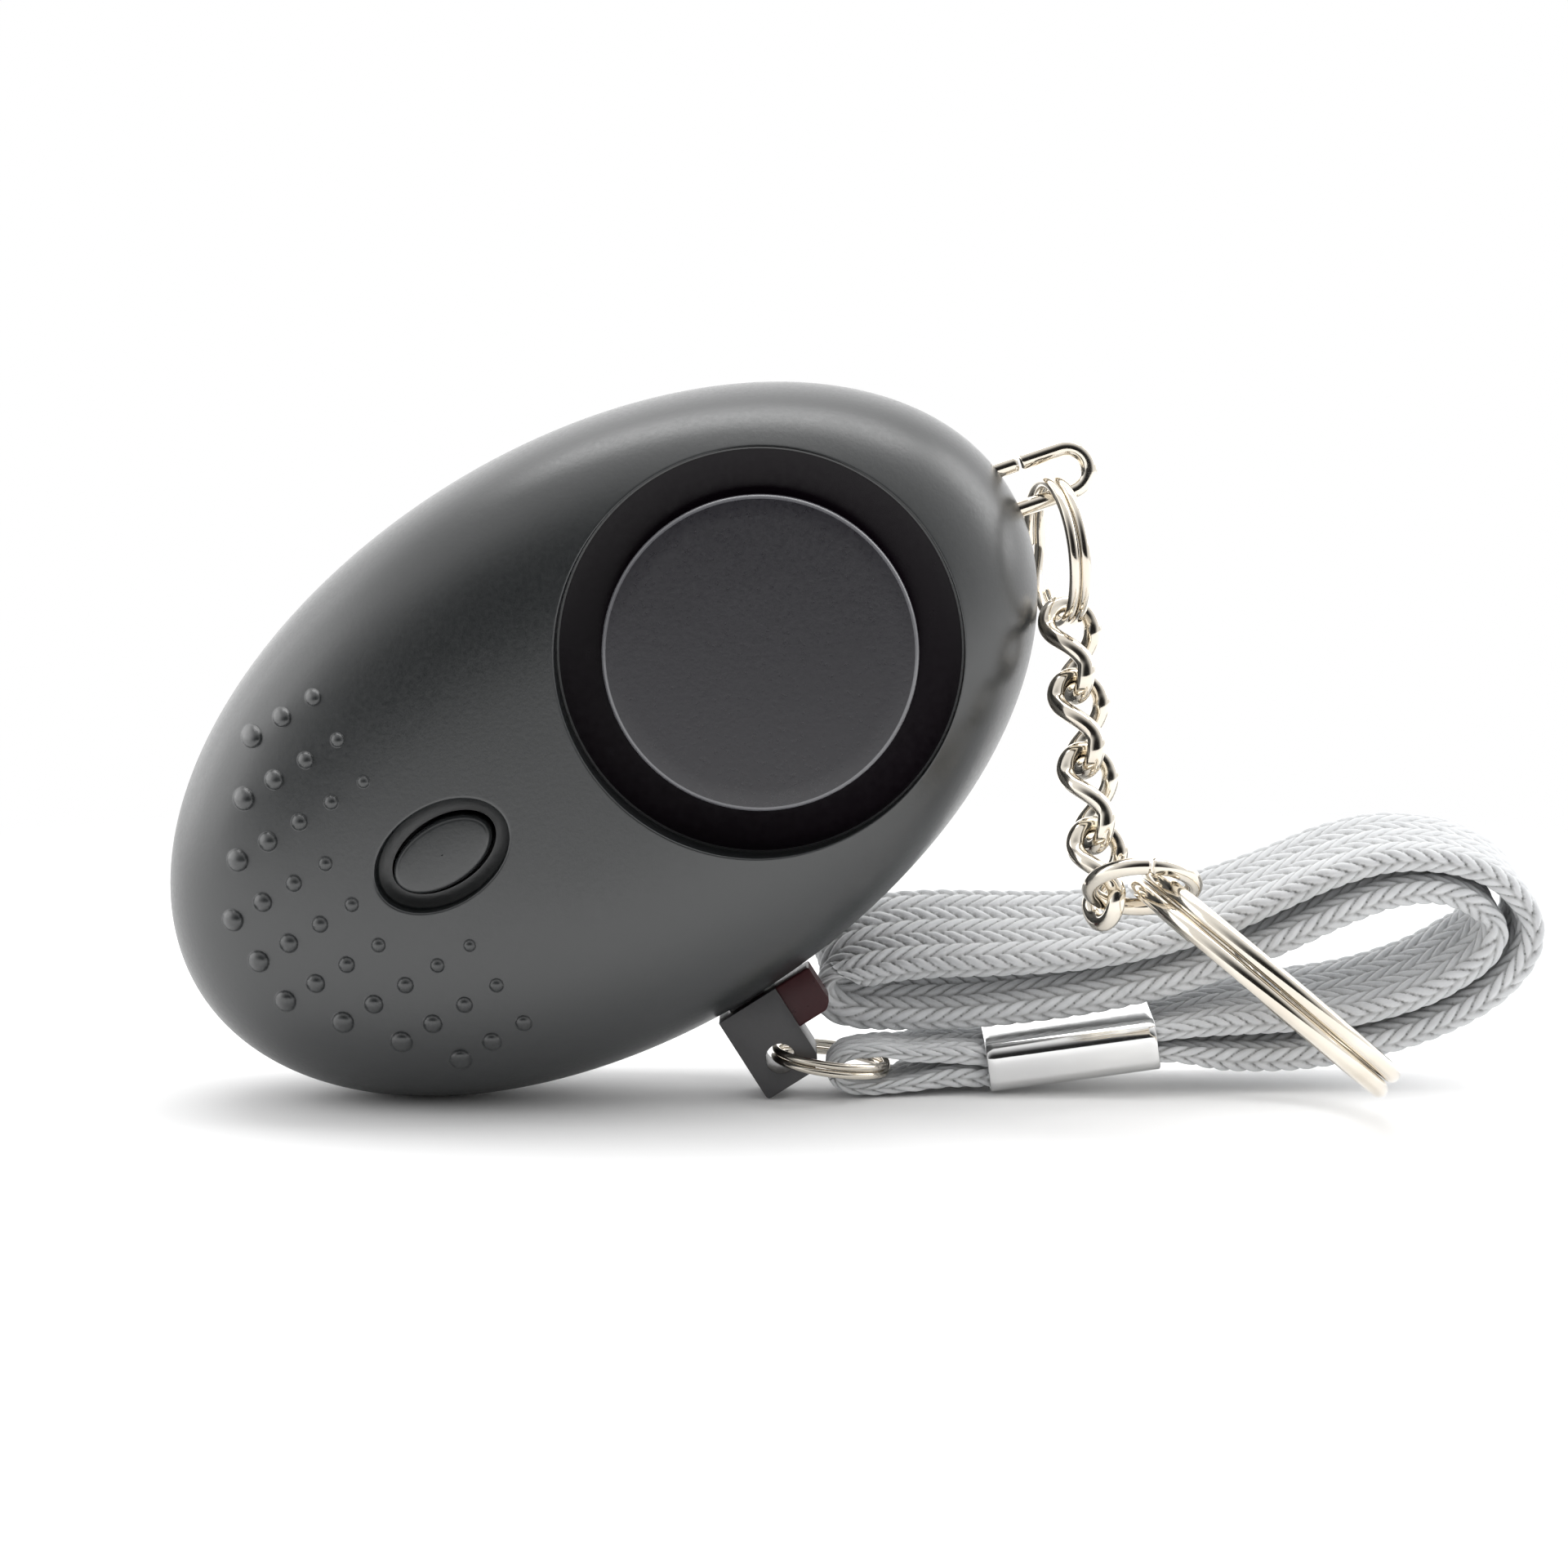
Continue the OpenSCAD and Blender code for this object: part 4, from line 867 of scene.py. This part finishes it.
for i in range(siren["ribs"]):
    q = math.radians(360 / siren["ribs"] * i)
    c, s = math.cos(q), math.sin(q)
    base = len(ribs)
    for d in (siren["low"], siren["ribTop"]):
        for r, t in ((near, -half), (far, -half), (far, half), (near, half)):
            ribs.append((siren["at"][0] + r * c - t * s, siren["at"][1] + r * s + t * c, d))
    ribFaces += [(base, base + 3, base + 2, base + 1), (base + 4, base + 5, base + 6, base + 7)]
    ribFaces += [(base + j, base + (j + 1) % 4, base + 4 + (j + 1) % 4, base + 4 + j) for j in range(4)]
makePiece("sirenRibs", planToRow(ribs), ribFaces, finishes["groove"], "casing", None)

# torch button: a crowned oval pad
button = {
    "at": front["recess"]["at"],
    "sides": 96,
    "rx": 3.45,
    "ry": 2.0,
    "top": 10.1,
    "low": 7.2,
    "edge": 0.35,
    "crown": 0.06,
}
edge, shoulderTop = button["edge"], button["top"] - button["crown"]
flatX, flatY = button["rx"] - edge, button["ry"] - edge
rows = [(k * flatX, k * flatY, button["top"] - button["crown"] * k**2) for k in (0.02, 0.3, 0.6, 0.8)]
rows += [(flatX + out, flatY + out, d) for out, d in roundedSteps((0, shoulderTop - edge), edge, 90, 0, 7)]
rows += [(button["rx"], button["ry"], button["low"]), (0.02, 0.02, button["low"])]
rings = [(ovalRing(button["at"], rx, ry, button["sides"]), d) for rx, ry, d in rows]
points = np.vstack([np.column_stack([ring, np.full(len(ring), d)]) for ring, d in rings])
faces = flipped(gridFaces(len(rows), button["sides"]))
pad = makePiece(
    "torchButton", planToRow(points), faces, finishes["casing"], "button", "light_button"
)
pad.data.set_sharp_from_angle(angle=deg(60))
print("siren and button made")


# pull pin: a matte tab with the ring's hole, and a glossy shoulder beside it
def plate(outline, holes, low, high):
    loops = [np.asarray(outline, float)] + [np.asarray(h, float) for h in holes]
    flat, edges = [], []
    for loop in loops:
        base = len(flat)
        flat += [Vector(p) for p in loop]
        edges += [(base + i, base + (i + 1) % len(loop)) for i in range(len(loop))]
    verts, _, tris, *_ = delaunay_2d_cdt(flat, edges, [], 0, 1e-6)
    v = np.array(verts)

    def within(p, loop):
        x, y = p
        inside = False
        for (x0, y0), (x1, y1) in zip(loop, np.roll(loop, -1, 0)):
            if (y0 > y) != (y1 > y) and x < (x1 - x0) * (y - y0) / (y1 - y0) + x0:
                inside = not inside
        return inside

    keep = []
    for t in tris:
        c = v[list(t)].mean(0)
        if within(c, loops[0]) and not any(within(c, h) for h in loops[1:]):
            t = list(t)
            if np.cross(v[t[1]] - v[t[0]], v[t[2]] - v[t[0]]) < 0:
                t = t[::-1]
            keep.append(t)
    n = len(v)
    points = np.vstack([np.column_stack([v, np.full(n, low)]), np.column_stack([v, np.full(n, high)])])
    faces = [t[::-1] for t in keep] + [[i + n for i in t] for t in keep]
    used = {}
    for t in keep:
        for i in range(3):
            used[(t[i], t[(i + 1) % 3])] = True
    faces += [[i, j, j + n, i + n] for i, j in used if (j, i) not in used]
    return points, faces


pin = {
    "x": casing["pinX"],
    "half": casing["pinW"] / 2,
    "reach": casing["pinReach"],
    "top": 19.74,
    "depth": 2.2,
    "corner": 1.2,
    "nick": 0.25,
    "holeR": 1.0,
    "holeY": 23.9,
    "shoulder": 3.1,
    "shoulderX": (-2.9, 3.6),
    "shoulderCut": 0.5,
    "shoulderDepth": (-0.9, 1.9),
    "blade": [(-2.5, -20.9), (0.1, -20.9), (0.1, -10.9), (-0.3, -10.6), (-2.1, -10.6), (-2.5, -10.9)],
    "bladeDepth": (-0.8, 0.8),
}
left, right, nick = pin["x"] - pin["half"], pin["x"] + pin["half"], pin["nick"]
outline = [(left, -pin["top"]), (left, -pin["reach"] + nick)]
outline += roundedSteps((left + nick, -pin["reach"] + nick), nick, 180, 270, 4)[1:]
outline += roundedSteps((right - pin["corner"], -pin["reach"] + pin["corner"]), pin["corner"], 270, 360, 9)
outline += [(right, -pin["top"])]
hole = roundedSteps((pin["x"], -pin["holeY"]), pin["holeR"], 0, 345, 24)
points, faces = plate(outline, [hole], -pin["depth"], pin["depth"])
tab = makePiece("pinTab", planToRow(points), faces, finishes["pinTab"], "pin", "pull_pin")
bevelled(tab, 0.22)
low, cut = -pin["top"] - pin["shoulder"], pin["shoulderCut"]
near, far = pin["shoulderX"]
shoulder = [(near, low), (far - cut, low), (far, low + cut), (far, -pin["top"]), (near, -pin["top"])]
points, faces = plate(shoulder, [], *pin["shoulderDepth"])
collar = makePiece(
    "pinShoulder", planToRow(points), faces, finishes["pinShoulder"], "pin", None
)
bevelled(collar, 0.2)
points, faces = plate(pin["blade"], [], *pin["bladeDepth"])
blade = makePiece("pinBlade", planToRow(points), faces, finishes["pinTab"], "pin", None)
bevelled(blade, 0.1)


# wires: pin ring, bail, bail ring, links, jump ring and key ring
def addWire(name, path, refs, d, closed, node):
    points, faces = wireTube(path, refs, d, closed)
    piece = makePiece(name, points - middle, flipped(faces), finishes["nickel"], node, node)
    piece.data.set_sharp_from_angle(angle=deg(50))


pinRing = {"d": 8.0, "wire": 0.5, "slope": deg(7.5)}
pinHole = standPoint(pin["x"], -pin["holeY"])
pinRingR = (pinRing["d"] - pinRing["wire"]) / 2
pinRingOut = np.array([math.cos(pinRing["slope"]), 0, -math.sin(pinRing["slope"])])
pinRingBow = (pinRingR - math.sqrt(pinRingR**2 - pin["depth"] ** 2)) / 2
pinRingMid = pinHole + (pinRingR - pinRingBow) * pinRingOut
path, refs = coilPath(pinRingMid, pinRingOut, np.array([0, 1.0, 0]), pinRingR, pinRing["wire"], 200)
addWire("pinRing", path, refs, pinRing["wire"], False, "pin_ring")
ringMid = hang + (ringTop + ringR) * ringDir
path, refs = coilPath(ringMid, -around(ringDir, chain["ringTurn"]), ringDir, ringR, chain["ringWire"], 240)
addWire("bailRing", path, refs, chain["ringWire"], False, "bail_ring")
path, refs = coilPath(keyMid, keyBack, keyDown, keyR, chain["keyWire"], 320)
addWire("keyRing", path, refs, chain["keyWire"], False, "key_ring")


def bailPath():
    r, leg, seat, half = chain["bailStep"] / 2, chain["bailLeg"], chain["cutAt"], chain["cut"] / 2
    plan = [(s, r) for s in np.linspace(seat + half, leg, 12)]
    plan += [(leg + r * math.cos(q), r * math.sin(q)) for q in np.radians(np.linspace(84, -90, 26))]
    plan += [(s, -r) for s in np.linspace(leg, 0, 20)[1:]]
    plan += [(-r * math.sin(q), -r * math.cos(q)) for q in np.radians(np.linspace(6, 180, 26))]
    plan += [(s, r) for s in np.linspace(0, seat - half, 18)[1:]]
    side = -bailDown
    base = np.array(chain["post"])
    return np.array([standPoint(*(base + s * bailEnd + t * side)) for s, t in plan])


path = bailPath()
addWire("bailWire", path, np.repeat([[0, 1.0, 0]], len(path), 0), chain["bailWire"], False, "bail")


def linkPath(i):
    straight = linkMid - 2 * bowR
    legs = np.linspace(0, 1, 26)[1:-1]
    flat = roundedSteps((0, bowR), bowR, -180, 0, 41)
    flat += [(bowR, bowR + straight * k) for k in legs]
    flat += roundedSteps((0, bowR + straight), bowR, 0, 180, 41)
    flat += [(-bowR, bowR + straight * (1 - k)) for k in legs]
    out = []
    lead = 0.12 * bowR  # the twist starts a little way up the bows
    for x, y in flat:
        part = min(1, max(0, (y - bowR + lead) / (straight + 2 * lead)))
        ease = part * part * (3 - 2 * part)
        turn = linkTurn(i) - chain["twist"] * ease
        out.append(chainFrom + (linkTop(i) + y) * chainDir + x * around(chainDir, turn))
    return np.array(out)


for i in range(4):
    path = linkPath(i)
    centre = chainFrom + (linkTop(i) + linkMid / 2) * chainDir
    addWire(f"chainLink{i + 1}", path, path - centre, chain["linkWire"], True, f"chain_link_{i + 1}")
halfCut = chain["cut"] / jumpR / 2
q = np.linspace(chain["jumpCut"] + halfCut, chain["jumpCut"] + 2 * math.pi - halfCut, 140)[:, None]
path = jumpMid - jumpR * (np.cos(q) * jumpOut - np.sin(q) * jumpTangent)
addWire("jumpRing", path, np.repeat([jumpTurn], len(path), 0), chain["jumpWire"], False, "jump_ring")
print("pin, rings and chain made")

# inner pieces keep their CAD shape and get their own finishes
innerTones = {
    "siren_gasket": ("rubber", (0.012, 0.012, 0.013)),
    "siren_retainer": ("plastic", (0.03, 0.03, 0.032)),
    "sounder_plate": ("metal", (0.66, 0.48, 0.2)),
    "sounder_ceramic": ("plastic", (0.72, 0.69, 0.6)),
    "sounder_leads": ("rubber", (0.4, 0.03, 0.025)),
    "switch_body": ("plastic", (0.02, 0.02, 0.022)),
    "switch_plunger": ("plastic", (0.66, 0.63, 0.57)),
    "circuit_board": ("plastic", (0.03, 0.16, 0.07)),
    "driver_chip": ("plastic", (0.012, 0.012, 0.013)),
    "step_up_coil": ("metal", (0.16, 0.16, 0.17)),
    "filter_capacitor": ("plastic", (0.03, 0.05, 0.2)),
    "torch_lamp": ("plastic", (0.8, 0.83, 0.85)),
    "lamp_leads": ("metal", (0.7, 0.71, 0.72)),
    "battery_tray": ("plastic", (0.022, 0.022, 0.024)),
    "button_cell_1": ("metal", (0.68, 0.69, 0.71)),
    "button_cell_2": ("metal", (0.68, 0.69, 0.71)),
    "button_cell_3": ("metal", (0.68, 0.69, 0.71)),
    "cell_spring_single": ("metal", (0.7, 0.7, 0.7)),
    "cell_spring_bridge": ("metal", (0.7, 0.7, 0.7)),
    "cell_strip_bridge": ("metal", (0.7, 0.7, 0.7)),
    "cell_strip_single": ("metal", (0.7, 0.7, 0.7)),
    "pin_switch_block": ("plastic", (0.022, 0.022, 0.024)),
    "pin_contact_front": ("metal", (0.7, 0.5, 0.22)),
    "pin_contact_rear": ("metal", (0.7, 0.5, 0.22)),
    "case_screws": ("metal", (0.46, 0.46, 0.48)),
}
for name, (kind, tone) in innerTones.items():
    darker = tuple(0.8 * c for c in tone)
    if kind == "metal":
        finish = platedMetal(name + " finish", tone, darker, 0.28)
    else:
        finish = mouldedPlastic(name + " finish", darker, tone, 0.65 if kind == "rubber" else 0.42)
    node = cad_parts[name]
    node.data.materials.clear()
    node.data.materials.append(finish)
print("inner pieces finished")

# floor, light and world
stage = {
    "front": -0.28,
    "far": 3.0,
    "side": 3.0,
    "tone": 0.88,
    "fadeFrom": 0.07,
    "fadeTo": 0.16,
    "around": 1.0,
    "behind": 0.9,
    "before": 0.02,
    "fill": 0.4,
}
mesh = bpy.data.meshes.new("floor")
corners = [(x, y, 0) for y in (stage["front"], stage["far"]) for x in (-stage["side"], stage["side"])]
mesh.from_pydata(corners, [], [(0, 1, 3, 2)])
paper = Finish("paper floor", {"Roughness": 0.9, "Specular IOR Level": 0.1})
tone = stage["tone"]
sheet = paper.blend(paper.spread(paper.grain(6, 2), 0, 1), (tone,) * 3, (tone * 1.02,) * 3)
paper.feed(**{"Base Color": sheet})
place = paper.add("ShaderNodeTexCoord", pick="Object")
away = paper.add("ShaderNodeVectorMath", {"operation": "LENGTH"}, {0: place}, pick="Value")
smooth = {"interpolation_type": "SMOOTHSTEP"}
fade = paper.add("ShaderNodeMapRange", smooth, {0: away, 1: stage["fadeFrom"], 2: stage["fadeTo"]})
seen = paper.add("ShaderNodeLightPath", pick="Is Camera Ray")
glow = paper.add("ShaderNodeEmission", None, {"Color": (1, 1, 1, 1), "Strength": 1.0})
lit = Wire(paper, paper.shader.outputs[0])
sheetMix = paper.add("ShaderNodeMixShader", None, {0: fade * seen, 1: lit, 2: glow})
paper.tree.links.new(sheetMix.socket, paper.tree.nodes["Material Output"].inputs["Surface"])
mesh.materials.append(paper.material)
floor = bpy.data.objects.new("floor", mesh)
bpy.context.scene.collection.objects.link(floor)

lights = {
    "topBox": ((0.02, 0.08, 0.5), (0, 0, 0.02), (0.6, 0.16), 1.2),
    "leftBox": ((-0.5, 0.1, 0.2), (0, 0, 0.02), (0.5, 0.4), 0.7),
    "rightBox": ((0.45, 0.1, 0.3), (0.02, 0, 0.02), (0.2, 0.4), 0.9),
}
for name, (spot, target, size, power) in lights.items():
    lamp = bpy.data.lights.new(name, "AREA")
    lamp.shape, lamp.size, lamp.size_y = "RECTANGLE", size[0], size[1]
    lamp.energy = power
    obj = bpy.data.objects.new(name, lamp)
    bpy.context.scene.collection.objects.link(obj)
    obj.location = spot
    obj.rotation_euler = (Vector(target) - Vector(spot)).to_track_quat("-Z", "Y").to_euler()
world = bpy.data.worlds.new("studio")
bpy.context.scene.world = world
world.use_nodes = True
sky = Sheet(world.node_tree)
direction = sky.add("ShaderNodeTexCoord", pick="Generated")
split = sky.add("ShaderNodeSeparateXYZ", None, {0: direction})


def skyBand(start, stop, low, high):
    return sky.add("ShaderNodeMapRange", smooth, {0: split.out("Y"), 1: start, 2: stop, 3: low, 4: high})


tent = skyBand(-0.92, -0.3, stage["before"], stage["around"])
ray = sky.add("ShaderNodeLightPath", pick="Is Camera Ray")
ground = world.node_tree.nodes["Background"]
rearGlow = skyBand(0.2, 0.8, 0.0, stage["behind"])
mirrored = sky.add("ShaderNodeLightPath", pick="Is Glossy Ray")
fill = skyBand(-0.2, -0.7, 0.0, stage["fill"])
strength = ray + (1.0 - ray) * (tent + rearGlow + fill * (1.0 - mirrored))
world.node_tree.links.new(strength.socket, ground.inputs["Strength"])
ground.inputs["Color"].default_value = (1, 1, 1, 1)
bpy.context.scene.view_settings.view_transform = "Standard"
